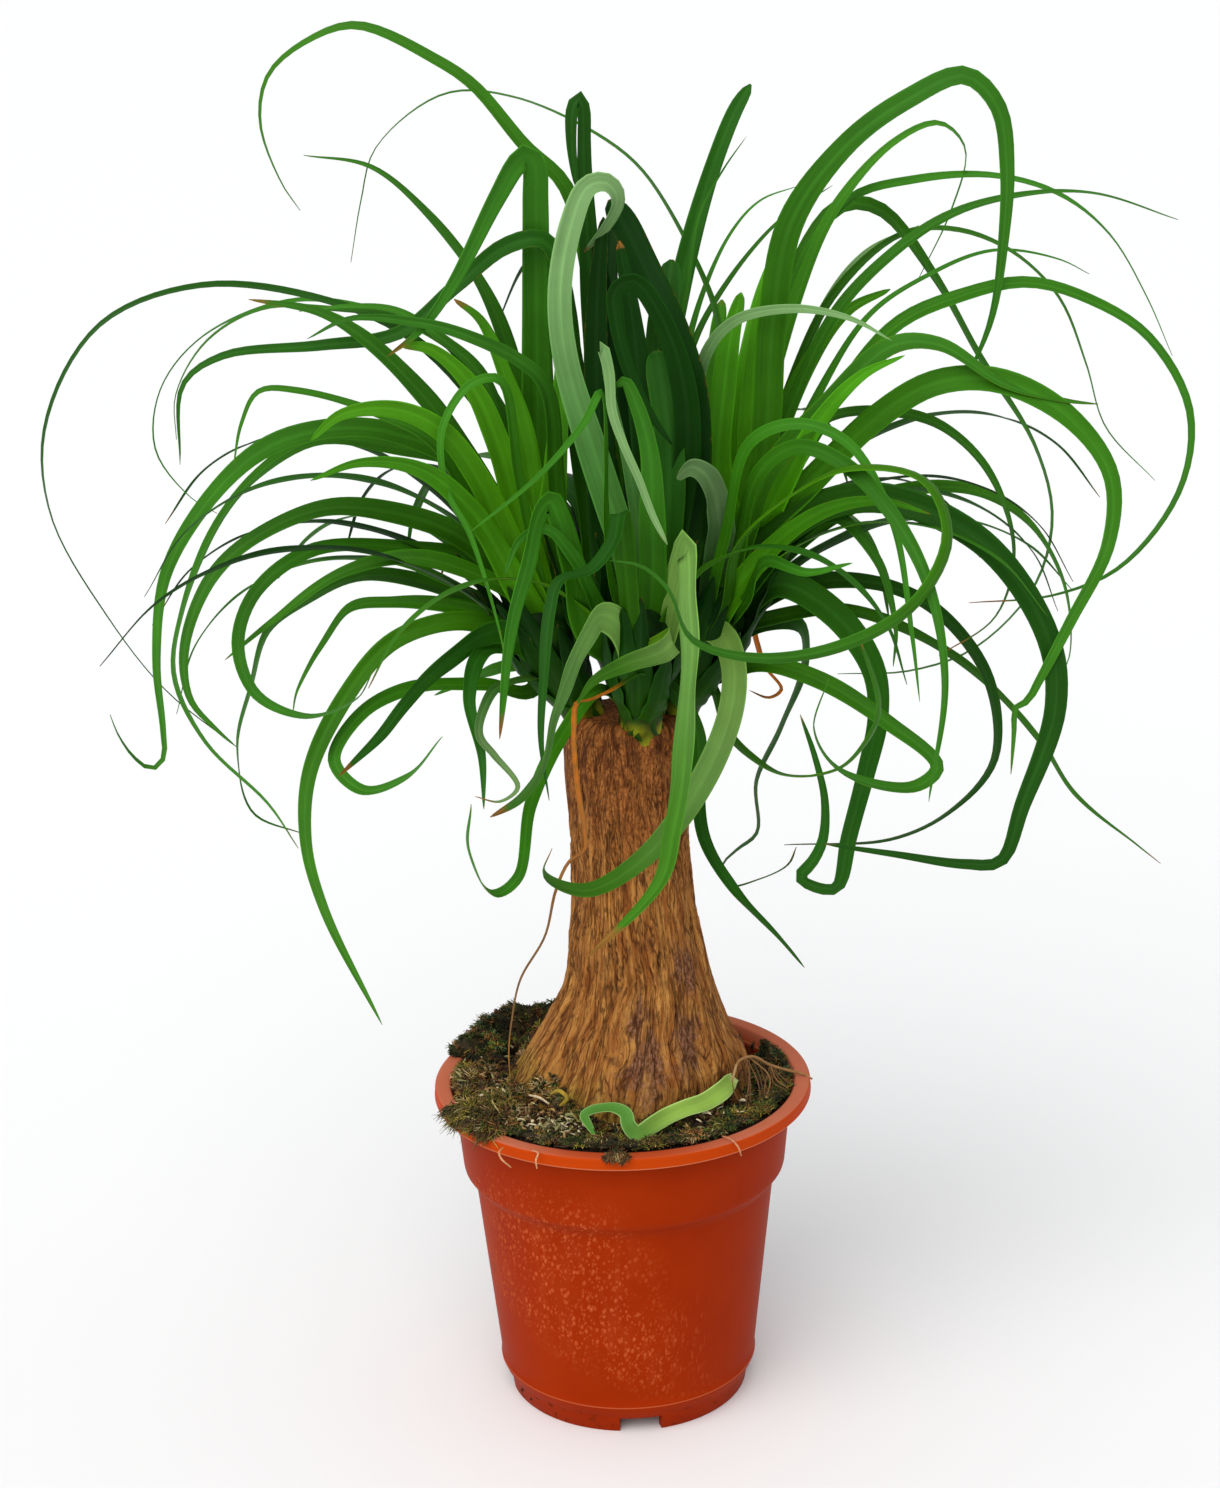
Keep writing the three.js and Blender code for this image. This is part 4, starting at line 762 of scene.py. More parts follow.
class Finish:
    """A material built from expressions."""

    def __init__(self, name, constants):
        self.material = bpy.data.materials.new(name)
        self.material.use_nodes = True
        self.tree = self.material.node_tree
        self.shader = self.tree.nodes["Principled BSDF"]
        for socket, value in constants.items():
            self.shader.inputs[socket].default_value = value

    def node(self, kind, settings=None, inputs=None, output=0):
        """A node of a type: its settings first, then the value or the link of each input."""
        made = self.tree.nodes.new("ShaderNode" + kind)
        for setting, value in (settings or {}).items():
            setattr(made, setting, value)
        for key, value in (inputs or {}).items():
            self.plug(made.inputs[key], value)
        return Wire(self, made.outputs[output])

    def plug(self, socket, value):
        if isinstance(value, Wire):
            self.tree.links.new(value.socket, socket)
        elif isinstance(value, (int, float)):
            socket.default_value = value
        else:
            wide = len(socket.default_value)
            socket.default_value = (*value, 1)[:wide]

    def millimetres(self, stretch=(1, 1, 1)):
        """Where a point is on the object, in millimetres, with each axis stretched."""
        return self.spread(self.node("TexCoord", output="Object"), tuple(share / MM for share in stretch))

    def layer(self, name):
        """A value that each point of a piece has."""
        return self.node("Attribute", {"attribute_name": name}, output="Fac")

    def tint(self):
        """The colour that each point of a piece has."""
        return self.node("Attribute", {"attribute_name": "tint"}, output="Color")

    def place(self, across, along):
        """The map across and along a leaf, in millimetres, each scaled."""
        return self.spread(self.node("UVMap", {"uv_map": "place"}), (across, along, 1))

    def grain(self, stretch):
        """The map that follows a piece's grain, in millimetres, with each axis stretched."""
        return self.spread(self.node("Attribute", {"attribute_name": "flow"}, output="Vector"), stretch)

    def noise(self, where, cells, detail=2, rough=0.5):
        """Noise about 0.5 with so many cells to a unit of `where`."""
        inputs = {"Vector": where, "Scale": cells, "Detail": detail, "Roughness": rough}
        return self.node("TexNoise", None, inputs)

    def spots(self, where, cells):
        """The distance to the nearest of scattered points, with so many cells to a unit."""
        return self.node("TexVoronoi", None, {"Vector": where, "Scale": cells}, "Distance")

    def blend(self, share, first, second):
        """Two colours mixed by a share."""
        return self.node("Mix", {"data_type": "RGBA"}, {0: share, 6: first, 7: second}, output=2)

    def spread(self, map_values, factors):
        """A map with each of its axes stretched by its own factor."""
        return self.node("VectorMath", {"operation": "MULTIPLY"}, {0: map_values, 1: factors})

    def shade(self, colour, factor):
        """A colour made darker or lighter by a factor."""
        return self.node("VectorMath", {"operation": "SCALE"}, {0: colour, "Scale": factor})

    def bump(self, height, depth):
        """Relief of so many millimetres."""
        settings = {0: 1.0, "Distance": depth * MM, "Height": height}
        return self.node("Bump", None, settings, output="Normal")

    def done(self, colour, roughness, normal):
        self.plug(self.shader.inputs["Base Color"], colour)
        self.plug(self.shader.inputs["Roughness"], roughness)
        self.plug(self.shader.inputs["Normal"], normal)
        return self.material


def leaf_finish():
    """Strap leaf: fine lengthwise veins, soft streaks and mottling, thin pale edges that turn
    brown in places and a dry tip, with a satin skin."""
    f = Finish("strap_leaf", {"Specular IOR Level": 0.06})
    veins = f.noise(f.place(1.5, 0.012), 1.0, 3, 0.6)
    streaks = f.noise(f.place(0.35, 0.012), 1.0, 2)
    mottle = f.noise(f.millimetres(), 0.05, 3)
    light = 0.3 + veins * 0.5 + streaks * 0.5 + mottle * 0.4
    colour = f.shade(f.tint(), light)
    edge = f.layer("edge").step(0.84, 0.97)
    colour = f.blend(edge * 0.5, colour, f.shade(f.tint(), 1.9))
    dry = (f.layer("dryness") + (f.noise(f.millimetres(), 0.25, 3) - 0.5) * 0.7).step(0.35, 0.8)
    straw = f.blend(f.noise(f.place(0.8, 0.05), 1.0), rgb(0x3C2208), rgb(0xA87836))
    colour = f.blend(dry, colour, straw)
    relief = f.bump(veins, 0.12)
    return f.done(colour, 0.38 + mottle * 0.16 + dry * 0.25, relief)


def bark_finish():
    """Corky bark: tan fibres and fine wavy dark lines that follow the trunk, red-brown at the top,
    mottled purple-brown stains, a mossy bloom where it meets the soil, and painted shade in the carved
    fissures."""
    f = Finish("bark", {"Specular IOR Level": 0.12})
    fibres = f.noise(f.grain((1, 1, 0.12)), 0.34, 3, 0.6)
    lines = abs(f.noise(f.grain((1, 1, 0.17)), 0.17, 3, 0.6) - 0.5)
    hairs = abs(f.noise(f.grain((1, 1, 0.2)), 0.42, 2, 0.6) - 0.5)
    flecks = f.noise(f.grain((1, 1, 0.6)), 0.8, 3, 0.7)
    chips = f.noise(f.grain((0.7, 0.7, 1)), 0.5, 3, 0.7)
    patches = f.noise(f.millimetres((1, 1, 0.55)), 0.06, 4, 0.65)
    height = f.node("SeparateXYZ", None, {0: f.millimetres()}, output=2)
    colour = f.blend(fibres.step(0.34, 0.66), rgb(0x864E20), rgb(0xB67E3E))
    colour = f.shade(colour, 0.72 + flecks * 0.56)
    upper = f.blend(flecks.step(0.32, 0.68), rgb(0x6A3212), rgb(0xAA6A34))
    colour = f.blend(height.step(262, 335) * 0.85, colour, upper)
    pale = chips.step(0.6, 0.72) * fibres.step(0.4, 0.6)
    colour = f.blend(pale * 0.5, colour, rgb(0xD2A468))
    blots = f.noise(f.grain((1, 1, 0.5)), 0.14, 4, 0.7)
    stained = f.layer("stain") + (patches - 0.5) * 0.8 + (blots - 0.5) * 2.4 + (flecks - 0.5) * 0.6
    stained = stained.step(0.3, 0.9) * f.layer("stain").step(0.02, 0.25)
    purple = f.blend(flecks.step(0.36, 0.66), rgb(0x3A1E10), rgb(0x92664E))
    colour = f.blend(stained * 0.85, colour, purple)
    mossy = (f.layer("mossy") + (patches - 0.5) * 1.1).step(0.35, 0.9) * 0.6
    colour = f.blend(mossy, colour, f.blend(flecks.step(0.3, 0.7), rgb(0x4A3E10), rgb(0x948430)))
    colour = f.blend(hairs.step(0.04, 0.0) * 0.5, colour, rgb(0x5A3010))
    colour = f.blend(lines.step(0.035, 0.004) * 0.75, colour, rgb(0x42200A))
    scales = f.spots(f.grain((1, 1, 0.8)), 0.2)
    tops = height.step(315, 348) * scales.step(0.5, 0.66)
    colour = f.blend(tops * 0.6, colour, rgb(0x4A2410))
    # Darkest along the carved fissures: painted shade in them.
    colour = f.blend(f.layer("crack") * 0.8, colour, rgb(0x2A1206))
    ridges = fibres * 0.4 + lines.step(0, 0.05) * 0.5 + hairs.step(0, 0.05) * 0.25 + chips * 0.5
    return f.done(colour, 0.72 + flecks * 0.24, f.bump(ridges, 0.9))


def pot_finish():
    """Satin moulded plastic: orange wall, a brighter lip with painted highlights along its lower edge
    and along the bead, a salmon rim top that is partly dust and partly painted sheen, a dull
    red-brown inside that paints the shade in the pot's hollow, a painted shadow in a band under the
    lip, dried water spots that run down from the left of the front, and darker patches low on the
    foot under the bead, most on the left, with a dark streak high on the left."""
    f = Finish("pot_plastic", {"Specular IOR Level": 0.03})
    where = f.millimetres()
    cloud = f.noise(where, 0.03, 3)
    grain = f.noise(where, 0.9, 3, 0.6)
    x, y, height = (f.node("SeparateXYZ", None, {0: where}, output=axis) for axis in range(3))
    lip_foot = POT["height"] - POT["lip"]
    colour = f.blend(cloud, rgb(0x8C2200), rgb(0x9E2E02))
    lip = height.step(lip_foot - 0.6, lip_foot + 0.6)
    colour = f.blend(lip * 0.9, colour, rgb(0xB83E06))
    # The rim top's salmon colour is partly dust and partly painted sheen on the upturned face, strongest
    # towards the left and right.
    dust_and_sheen = f.layer("rim_top") * (0.2 + abs(x).step(15, 60) * 0.6) * (0.6 + cloud * 0.6)
    colour = f.blend(dust_and_sheen, colour, rgb(0xC2765A))
    # The darker red-brown inside paints the shade in the pot's hollow.
    colour = f.blend(f.layer("inside"), colour, f.blend(grain, rgb(0x6A2208), rgb(0x8A3414)))
    left = (0 - y).step(5, 30) * (x + (height - 60) * 0.35).step(40, 2)
    wet = left * (x * 0.4 + height).step(20, 42) * height.step(152, 118) * (x * 0.8 + height).step(152, 108)
    wet = wet * f.noise(where, 0.05, 2).step(0.28, 0.5)
    slanted = f.node("VectorRotate", {"rotation_type": "Y_AXIS"}, {0: where, 3: -0.2})
    drawn = f.spread(slanted, (1, 1, 0.6))
    kinds = f.noise(where, 0.3, 2)
    drops = f.spots(drawn, 0.34).step(0.4, 0.14) * kinds.step(0.3, 0.44)
    beads = f.spots(drawn, 0.58).step(0.38, 0.16) * kinds.step(0.7, 0.54) * 0.8
    dots = (drops + beads) * wet
    runs = (0 - y).step(40, 50) * x.step(4, 24) * x.step(46, 34) * height.step(22, 36) * height.step(84, 60)
    dots = dots + runs * f.noise(f.millimetres((1, 1, 0.14)), 0.6, 2).step(0.58, 0.7) * 0.5
    colour = f.blend(dots * 0.6, colour, rgb(0xC05A30))
    film = wet * f.noise(f.millimetres((1, 1, 0.25)), 0.16, 3).step(0.42, 0.7) * 0.08
    colour = f.blend(film, colour, rgb(0xC06038))
    # A painted shadow: a darker band on the wall just under the lip.
    under = height.step(154, 160) * height.step(160.8, 159.6)
    colour = f.blend(under * 0.4, colour, rgb(0x7A2404))
    # Painted highlights: pale lines along the lip's rounded lower edge and along the bead.
    rims = height.step(lip_foot + 0.1, lip_foot + 0.5) * height.step(lip_foot + 1.4, lip_foot + 0.8)
    bead = POT["bead"]
    rims = rims + height.step(bead - 0.5, bead - 0.2) * height.step(bead + 0.4, bead + 0.1) * 0.5
    colour = f.blend(rims * 0.75, colour, rgb(0xD07850))
    # Darker patches low on the foot under the bead, most on the left, and a dark streak high on the left of
    # the wall.
    dirt = f.layer("dirt") * f.noise(where, 0.3, 3, 0.6).step(0.58, 0.64)
    colour = f.blend(dirt, colour, rgb(0x3A1C0E))
    relief = f.bump(grain * 0.4 + dots * 0.8, 0.08)
    rough = 0.42 + cloud * 0.1 + dots * 0.25 + dust_and_sheen * 0.2 + dirt * 0.4
    return f.done(colour, rough, relief)


def soil_finish():
    """Moist peat: near-black crumbs with brown and straw-coloured flecks."""
    f = Finish("potting_soil", {"Specular IOR Level": 0.3})
    where = f.millimetres()
    crumbs = f.noise(where, 0.6, 4, 0.7)
    flecks = f.noise(where, 1.3, 2)
    colour = f.blend(crumbs.step(0.35, 0.7), rgb(0x150D08), rgb(0x4A3120))
    colour = f.blend(flecks.step(0.66, 0.74) * 0.7, colour, rgb(0x9A7A50))
    return f.done(colour, 0.75 + crumbs * 0.25, f.bump(crumbs, 1.2))


def tinted_finish(name, rough, streak, depth):
    """A dull finish in each strand's own colour, with fine streaks and grain."""
    f = Finish(name, {"Specular IOR Level": 0.3})
    grain = f.noise(f.millimetres(), streak, 3, 0.6)
    colour = f.shade(f.tint(), 0.65 + grain * 0.7)
    return f.done(colour, rough - 0.1 + grain * 0.2, f.bump(grain, depth))


# ---- Pot ----


def wall_radius(z, low, high):
    """The outer radius at height z on the straight stretch of wall between two of its corners."""
    (start, foot), (end, top) = POT_WALL[low], POT_WALL[high]
    return start + (z - foot) * (end - start) / (top - foot)


def pot_profile():
    """The pot's outline from the middle of its underside, round outside, and back to the middle of
    its floor: radius, height."""
    p = POT
    foot, low = p["foot_radius"], p["foot_height"]
    rim, top, inside, r = p["rim"], p["height"], p["rim_inside"], p["rim_round"]
    corner = np.radians(np.linspace(0, 90, 6))
    lip = top - p["lip"]
    rows = [(0.01, low), (20, low), (foot - p["foot_width"] - 0.4, low)]
    rows += [(foot - p["foot_width"], low - 0.5), (foot - p["foot_width"], 0.4)]
    rows += [(foot - p["foot_width"] + 0.4, 0), (foot - 0.5, 0), (foot, 0.5)]
    bead, slim = p["bead"], p["bead_radius"] - p["bead_trim"]
    start = POT_WALL["foot"][0]
    rows += [(foot + 1.2, low - 1), (foot + 2, low + 0.6), (foot + 3.6, low + 3), (slim - 0.6, bead - 1.8)]
    rows += [(slim - 0.1, bead - 0.9), (slim, bead - 0.2), (slim - 0.1, bead + 0.5)]
    rows += [(start + 0.3, bead + 1.2), (start + 0.1, bead + 1.9), POT_WALL["foot"]]
    rows += [(wall_radius(z, "foot", "waist"), z) for z in range(24, 115, 6)]
    rows += POT_STEP
    rows += [(wall_radius(z, "shoulder", "neck"), z) for z in (127, 132, 138, 145, 152, 157)]
    rows += [(84.95, 158.6), (85.5, 159.6), (87, lip), (rim - r, lip)]
    rows += [(rim - r + r * np.sin(a), lip + r - r * np.cos(a)) for a in corner]
    rows += [(rim - 0.25, top - 4), (rim - 0.3, top - 2.6)]
    rows += [(rim - 0.3 - r + r * np.cos(a), top - r + r * np.sin(a)) for a in corner]
    rows += [(inside + r - r * np.sin(a), top - r + r * np.cos(a)) for a in corner]
    for z in np.arange(160, 125, -1.5):
        ring = 0.25 * np.cos(z * TURN / 4.5)
        rows.append((wall_radius(z, "shoulder", "neck") - p["wall"] + min(0, ring), z))
    inner_corners = [POT_WALL[corner] for corner in ("shoulder", "waist", "foot")]
    rows += [(radius - p["wall"], height) for radius, height in inner_corners]
    rows += [(p["floor_radius"], POT_FLOOR), (20, POT_FLOOR), (0.01, POT_FLOOR)]
    return np.array(rows, float)


def make_pot():
    """The profile turned about the axis. Between the edges of a notch the foot ring's points below
    the notch's height are lifted to it; extra columns at the edges keep them upright."""
    profile = pot_profile()
    turns = np.radians(np.arange(0, 360, 1.5))
    half = np.arcsin(POT["notch_width"] / 2 / POT["foot_radius"])
    centres = np.radians(POT["notch_turn"] + np.arange(POT["notches"]) * 360 / POT["notches"])
    edges = (centres[:, None] + half * np.array([-1.012, -1, 1, 1.012])).ravel()
    turns = np.unique(np.round(np.concatenate([turns, edges]) % TURN, 6))
    turns = turns if len(turns) % 2 == 0 else np.append(turns, TURN - 0.004)
    radius, height = profile[:, :1], np.repeat(profile[:, 1:], len(turns), 1)
    off = np.abs((turns[:, None] - centres + np.pi) % TURN - np.pi).min(1)
    notch = (off <= half * 1.001)[None, :] & (radius > POT["foot_radius"] - 8)
    height = np.where(notch, np.maximum(height, POT["notch_height"]), height)
    rings = np.stack([radius * np.cos(turns), radius * np.sin(turns), height], -1)[None]
    place = np.arange(len(profile))
    widest = int(np.argmax(profile[:, 0] * (profile[:, 1] > POT["height"] - 2)))
    # The inside of the pot, where its colour is darkened as painted shade.
    inside = step(place[:, None], widest + 12, widest + 16)
    level = profile[:, 1:]
    rim_top = step(level, POT["height"] - 0.6, POT["height"] - 0.05)
    rim_top = rim_top + step(place[:, None], widest + 2, widest + 6) * step(level, 158, 164)
    left = np.exp(-(((turns - np.radians(212)) / 0.3) ** 2))[None, :]
    # Where the wall is darkened: low on the foot under the bead, most on the left, and in a streak high on
    # the left.
    dirt = step(level, 14, 9) * (place[:, None] < widest) * (0.3 + 0.7 * left)
    streak = np.exp(-(((turns - np.radians(191)) / 0.055) ** 2))[None, :]
    dirt = dirt + streak * step(level, 128, 150) * (place[:, None] < widest)
    layers = {"inside": inside, "rim_top": np.clip(rim_top, 0, 1) * (1 - inside)}
    layers["dirt"] = np.clip(dirt, 0, 1)[None]
    pot = piece("nursery_pot", [(rings, layers)], pot_finish(), ["pot"])
    drill(pot)
    pot.data.set_sharp_from_angle(angle=np.radians(38))
    return pot


def drill(pot):
    """Cuts the drain holes through the pot's floor."""
    count, corners = POT["drains"], 24
    around = np.linspace(0, TURN, corners, endpoint=False)
    turns = np.radians(30 + np.arange(count) * 360 / count)[:, None, None]
    middle = POT["drain_circle"] * np.stack([np.cos(turns), np.sin(turns)], -1)
    circle = POT["drain_radius"] * np.stack([np.cos(around), np.sin(around)], -1)
    levels = np.array([POT_FLOOR - 4, POT_FLOOR + 4])[None, :, None, None]
    wide = np.broadcast_to(middle + circle, (count, 2, corners, 2))
    rings = np.concatenate([wide, np.broadcast_to(levels, (count, 2, corners, 1))], -1)
    drills = piece("drills", [(rings, {})], pot.data.materials[0])
    cut = pot.modifiers.new("drain", "BOOLEAN")
    cut.object = drills
    cut.solver = "EXACT"
    bpy.context.view_layer.update()
    whole = pot.evaluated_get(bpy.context.evaluated_depsgraph_get())
    drilled = bpy.data.meshes.new_from_object(whole)
    pot.modifiers.clear()
    pot.data = drilled
    bpy.data.objects.remove(drills)


# ---- Trunk ----


def trunk_surface(turn, z):
    """The bark's radius and its middle's offset: the outline, times root lobes that grow towards
    the soil, plus upright ridges that drift as they climb."""
    rows = flowing(TRUNK_OUTLINE, 10)
    base = np.interp(z, rows[:, 0], rows[:, 1])
    middle = np.interp(z, rows[:, 0], rows[:, 2])
    low = step(TRUNK["flutes_up_to"] - z, 0, 100)
    lobes = np.cos(5 * turn + 0.9) + 0.7 * np.cos(3 * turn - 0.6)
    ridges = np.sin(11 * turn + z / 26) + 0.6 * np.sin(17 * turn - z / 33)
    return base * (1 + TRUNK["flutes"] * low * lobes) + TRUNK["ridge"] * ridges, middle


def make_trunk():
    """A fine grid of that surface, carved by fissures: valleys along the zero lines of noise whose
    cells are drawn out upwards, in a coarse and a fine set, with flaking plates between them."""
    columns, levels = 400, 230
    turn = np.linspace(0, TURN, columns, endpoint=False)[None, :]
    root, top = TRUNK["root"], TRUNK["top"]
    shoulder = top - np.array([5, 2.5, 0.7, 0])
    z = np.concatenate([[root], np.linspace(root + 16, top - 8, levels), shoulder])[:, None]
    radius, middle = trunk_surface(turn, z)
    share = turn / TURN
    waver = 0.005 * patchy(share * 40, z / 15, 3, 40) + 0.01 * patchy(share * 12, z / 50, 4, 12)
    coarse = patchy((share + waver) * 52, z / 30, 5, 52)
    fine = patchy((share + waver * 1.5) * 104, z / 17, 6, 104)
    hair = patchy((share + waver * 2) * 160, z / 9, 7, 160)
    checks = patchy(share * 64, z / 2.6, 8, 64) * patchy(share * 22, z / 14, 9, 22)
    deep = np.exp(-((coarse / 0.07) ** 2)) * step(patchy(share * 26, z / 22, 11, 26), -0.5, 0.3)
    shallow = np.exp(-((fine / 0.12) ** 2))
    plates = patchy(share * 21, z / 20, 10, 21)
    rough = mix(0.55, 1, step(z, 345, 300))
    relief = 0.8 * plates - 1.2 * deep * rough - 0.6 * shallow - 0.35 * np.abs(hair) - 0.5 * np.abs(checks)
    cap = step(z, top, top - 6)
    radius = radius + relief * mix(0.3, 1, cap)
    rings = np.stack([middle + radius * np.cos(turn), radius * np.sin(turn), z + 0 * turn], -1)[None]
    # How deep the carved fissures are; the bark's colour darkens them there as painted shade.
    crack = np.clip(deep * rough * 0.7 + shallow * 0.3, 0, 0.85)
    facing = 0.5 + 0.5 * np.cos(turn - np.radians(200))
    mossy = step(z, 215, 160) * (0.45 + 0.55 * facing)
    around = turn + 0.05 * patchy(share * 20, z / 34, 12, 20) + 0.03 * patchy(share * 36, z / 11, 13, 36)
    flow = np.stack([40 * np.cos(around), 40 * np.sin(around), z + 0 * turn], -1)
    stain = np.zeros_like(crack)
    for degrees, level, wide, tall in STAINS:
        away = ((turn - np.radians(degrees) + np.pi) % TURN - np.pi) * radius
        stain = np.maximum(stain, np.exp(-((away / wide) ** 2) - ((z - level) / tall) ** 2))
    layers = {"crack": crack, "mossy": mossy, "stain": stain, "flow": flow[None]}
    return piece("trunk_bark", [(rings, layers)], bark_finish(), ["trunk"])


# ---- Soil and moss ----


def soil_top(x, y):
    """How high the soil lies: low at the back right, heaped up to the rim at the front and the
    left, and a little higher round the trunk."""
    heaped = step(-0.45 * x - 0.89 * y, -60, 30)
    crown = 1 - np.hypot(x, y) / POT["rim_inside"]
    bumps = np.sin(x / 7) * np.cos(y / 8.3) + 0.5 * np.sin(x / 3.9 + y / 5.1)
    return SOIL["low"] + SOIL["heap"] * heaped + SOIL["crown"] * crown + 0.5 * bumps


def crumbled(x, y):
    """The soil's crumbs: three sizes of noise on top of its level."""
    lumps = patchy(x / 9, y / 9, 20) + 0.6 * patchy(x / 4.1, y / 4.1, 21)
    lumps = lumps + 0.45 * patchy(x / 1.9, y / 1.9, 22)
    return soil_top(x, y) + 0.9 * lumps


def ground(x, y):
    """What lies under a thing on top of the pot: the soil, or the rim past its inner edge."""
    over_rim = step(np.hypot(x, y), POT["rim_inside"] - 9, POT["rim_inside"] - 2.5)
    return mix(soil_top(x, y), np.maximum(soil_top(x, y), POT["height"]), over_rim)


def make_soil():
    """A skin from the pot's floor up the wall, inwards over the crumbly top to the bark, and down
    the hole that the trunk stands in to its closed bottom."""
    turn = np.linspace(0, TURN, 360, endpoint=False)[None, :]
    whole = np.ones_like(turn)
    wall = [(0.01, 10.9), (59, 10.9), (63, 18.5), (73.5, 117), (79.1, 124), (81.7, 146)]
    wall = np.array(wall)[:, :, None] * whole
    share = np.linspace(0, 1, 66)[:, None]
    rim_of_hole = trunk_surface(turn, 158 * whole)[0] + 0.3
    radius = mix(82.2, rim_of_hole, share)
    x, y = radius * np.cos(turn), radius * np.sin(turn)
    top = mix(crumbled(x, y), SOIL["edge"], step(share, 0.03, 0))
    down = np.array([150, 135, 122, 119.4, 119.4, 119.4])[:, None] * whole
    shaft = trunk_surface(turn, np.maximum(down, 122))[0] + 0.5
    shaft = shaft * np.array([1, 1, 1, 0.98, 0.5, 0.001])[:, None]
    radius = np.concatenate([wall[:, 0], radius, shaft])
    height = np.concatenate([wall[:, 1], top, down])
    rings = np.stack([radius * np.cos(turn), radius * np.sin(turn), height], -1)[None]
    return piece("soil", [(rings, {})], soil_finish(), ["potting_soil"])


def pebbles(centres, sizes, draw):
    """Small closed lumps: four rings of six points of a squashed ball, each point moved by up to a
    quarter of the size."""
    rise = np.radians([-88, -30, 30, 88])[:, None]
    turn = np.linspace(0, TURN, 6, endpoint=False)[None, :]
    height = 0.75 * np.sin(rise) + 0 * turn
    ball = np.stack([np.cos(rise) * np.cos(turn), np.cos(rise) * np.sin(turn), height], -1)
    rough = 1 + draw.uniform(-0.25, 0.25, (len(centres), 4, 6, 1)) * (np.abs(rise) < 1)[:, :, None]
    return centres[:, None, None] + sizes[:, None, None, None] * ball * rough


def tubes(lines, radii, draw, around=4, flat=1):
    """Thin closed tubes along lines: rings of a few points square to each line, with the radius of
    each station, flattened by a factor one way."""
    forward = unit(np.gradient(lines, axis=1))
    aside = unit(np.cross(forward, unit(draw.normal(size=(len(lines), 1, 3)))))
    other = np.cross(forward, aside)
    turn = np.linspace(0, TURN, around, endpoint=False)[None, None, :, None]
    ring = np.cos(turn) * aside[:, :, None] + flat * np.sin(turn) * other[:, :, None]
    return lines[:, :, None] + ring * np.broadcast_to(radii, lines.shape[:2])[:, :, None, None]


def polar(degrees, radius):
    turn = np.radians(degrees)
    return radius * np.cos(turn), radius * np.sin(turn)


def make_crumbs():
    """Loose crumbs on the soil, about half sunk in it, most of them far smaller than the largest."""
    draw = np.random.default_rng(31)
    count = CRUMBS["count"]
    radius = np.sqrt(draw.uniform(CRUMBS["from"] ** 2, CRUMBS["to"] ** 2, count))
    x, y = polar(draw.uniform(0, 360, count), radius)
    sizes = draw.uniform(0.45, 1.0, count) ** 2.2 * CRUMBS["largest"]
    centres = np.stack([x, y, crumbled(x, y) + sizes * 0.3], -1)
    dark, brown = rgb(0x1A110B), rgb(0x5E4028)
    tint = mix(dark, brown, draw.uniform(0, 1, (count, 1)) ** 2)[:, None, None]
    batch = (pebbles(centres, sizes, draw), {"tint": tint})
    finish = tinted_finish("soil_crumbs", 0.9, 0.8, 0.5)
    return piece("soil_crumbs", [batch], finish)


def mat_level(mat, share, width):
    """A mat's lower level and its thickness at a share of its span and of its width: it lies on
    the ground and swells between its edges, with lumps at random."""
    start, end = mat["span"]
    inner, outer = mat["radii"]
    degrees = mix(start, end, share)
    radius = mix(inner, outer, width) + (1 - width) * 3 * np.sin(7 * share + start)
    x, y = polar(degrees, radius)
    hump = np.sqrt(np.sin(np.pi * mix(0.05, 0.95, share)) * np.sin(np.pi * mix(0.1, 0.9, width)))
    lumps = 0.9 + 0.35 * patchy(x / 7, y / 7, 40) + 0.3 * patchy(x / 3.2, y / 3.2, 41)
    return x, y, ground(x, y) + 0.8, 0.5 + mat["thick"] * hump * lumps


def moss_tufts(middles, kinds, length, drape, draw):
    """Tufts of moss: tapering strands that fan out from each middle, bend, and fall outwards by
    its `drape`. A tuft's kind gives its colours, from the ground to the strands' tips."""
    tuft = np.repeat(np.arange(len(middles)), STRANDS)
    count = len(tuft)
    away, drape = unit(middles[tuft] * (1, 1, 0)), np.broadcast_to(drape, len(middles))[tuft, None]
    lean = unit(draw.normal(size=(count, 3)) * (1, 1, 0.4) + (0, 0, 0.55) + away * drape)
    clump = step(patchy(middles[:, 0] / 4.2, middles[:, 1] / 4.2 + middles[:, 2] / 6, 90), -0.45, 0.4)
    size = (mix(0.35, 0.75, clump) + 0.4 * draw.uniform(0, 1, len(middles)))[tuft, None]
    reach = length * size * draw.uniform(0.5, 1, (count, 1))
    t = np.array([0, 0.5, 1])[None, :, None]
    curl = unit(draw.normal(size=(count, 1, 3))) * reach[:, None] * 0.3 * np.sin(t * np.pi * 1.3)
    fall = (away[:, None] * 0.35 - (0, 0, 1)) * (reach * drape)[:, None] * t**2 * 0.8
    lines = (middles[tuft] + lean * (0.7, 0.7, 0))[:, None] + (lean * reach)[:, None] * t + curl + fall
    floor = ground(lines[..., 0], lines[..., 1]) + 0.4
    past = np.hypot(lines[..., 0], lines[..., 1]) > POT["rim"] + 0.3
    lines[..., 2] = np.where(past, lines[..., 2], np.maximum(lines[..., 2], floor))
    radii = draw.uniform(0.2, 0.42, (count, 1)) * np.array([1, 0.95, 0.25])
    low, body, tip = (MOSS_KINDS[kinds][tuft, shade][:, None, None] for shade in range(3))
    light = 0.4 + 1.1 * draw.uniform(0, 1, (len(middles), 1, 1, 1))[tuft] ** 1.3
    light = light * mix(0.35, 1.25, clump)[tuft, None, None, None]
    t = t[..., None]
    tipped = np.maximum(0, t * 2 - 1) * draw.uniform(0.2, 1, (count, 1, 1, 1))
    tint = mix(mix(low, body, np.minimum(1, t * 2)), tip, tipped)
    return tubes(lines, radii, draw), {"tint": tint * light}


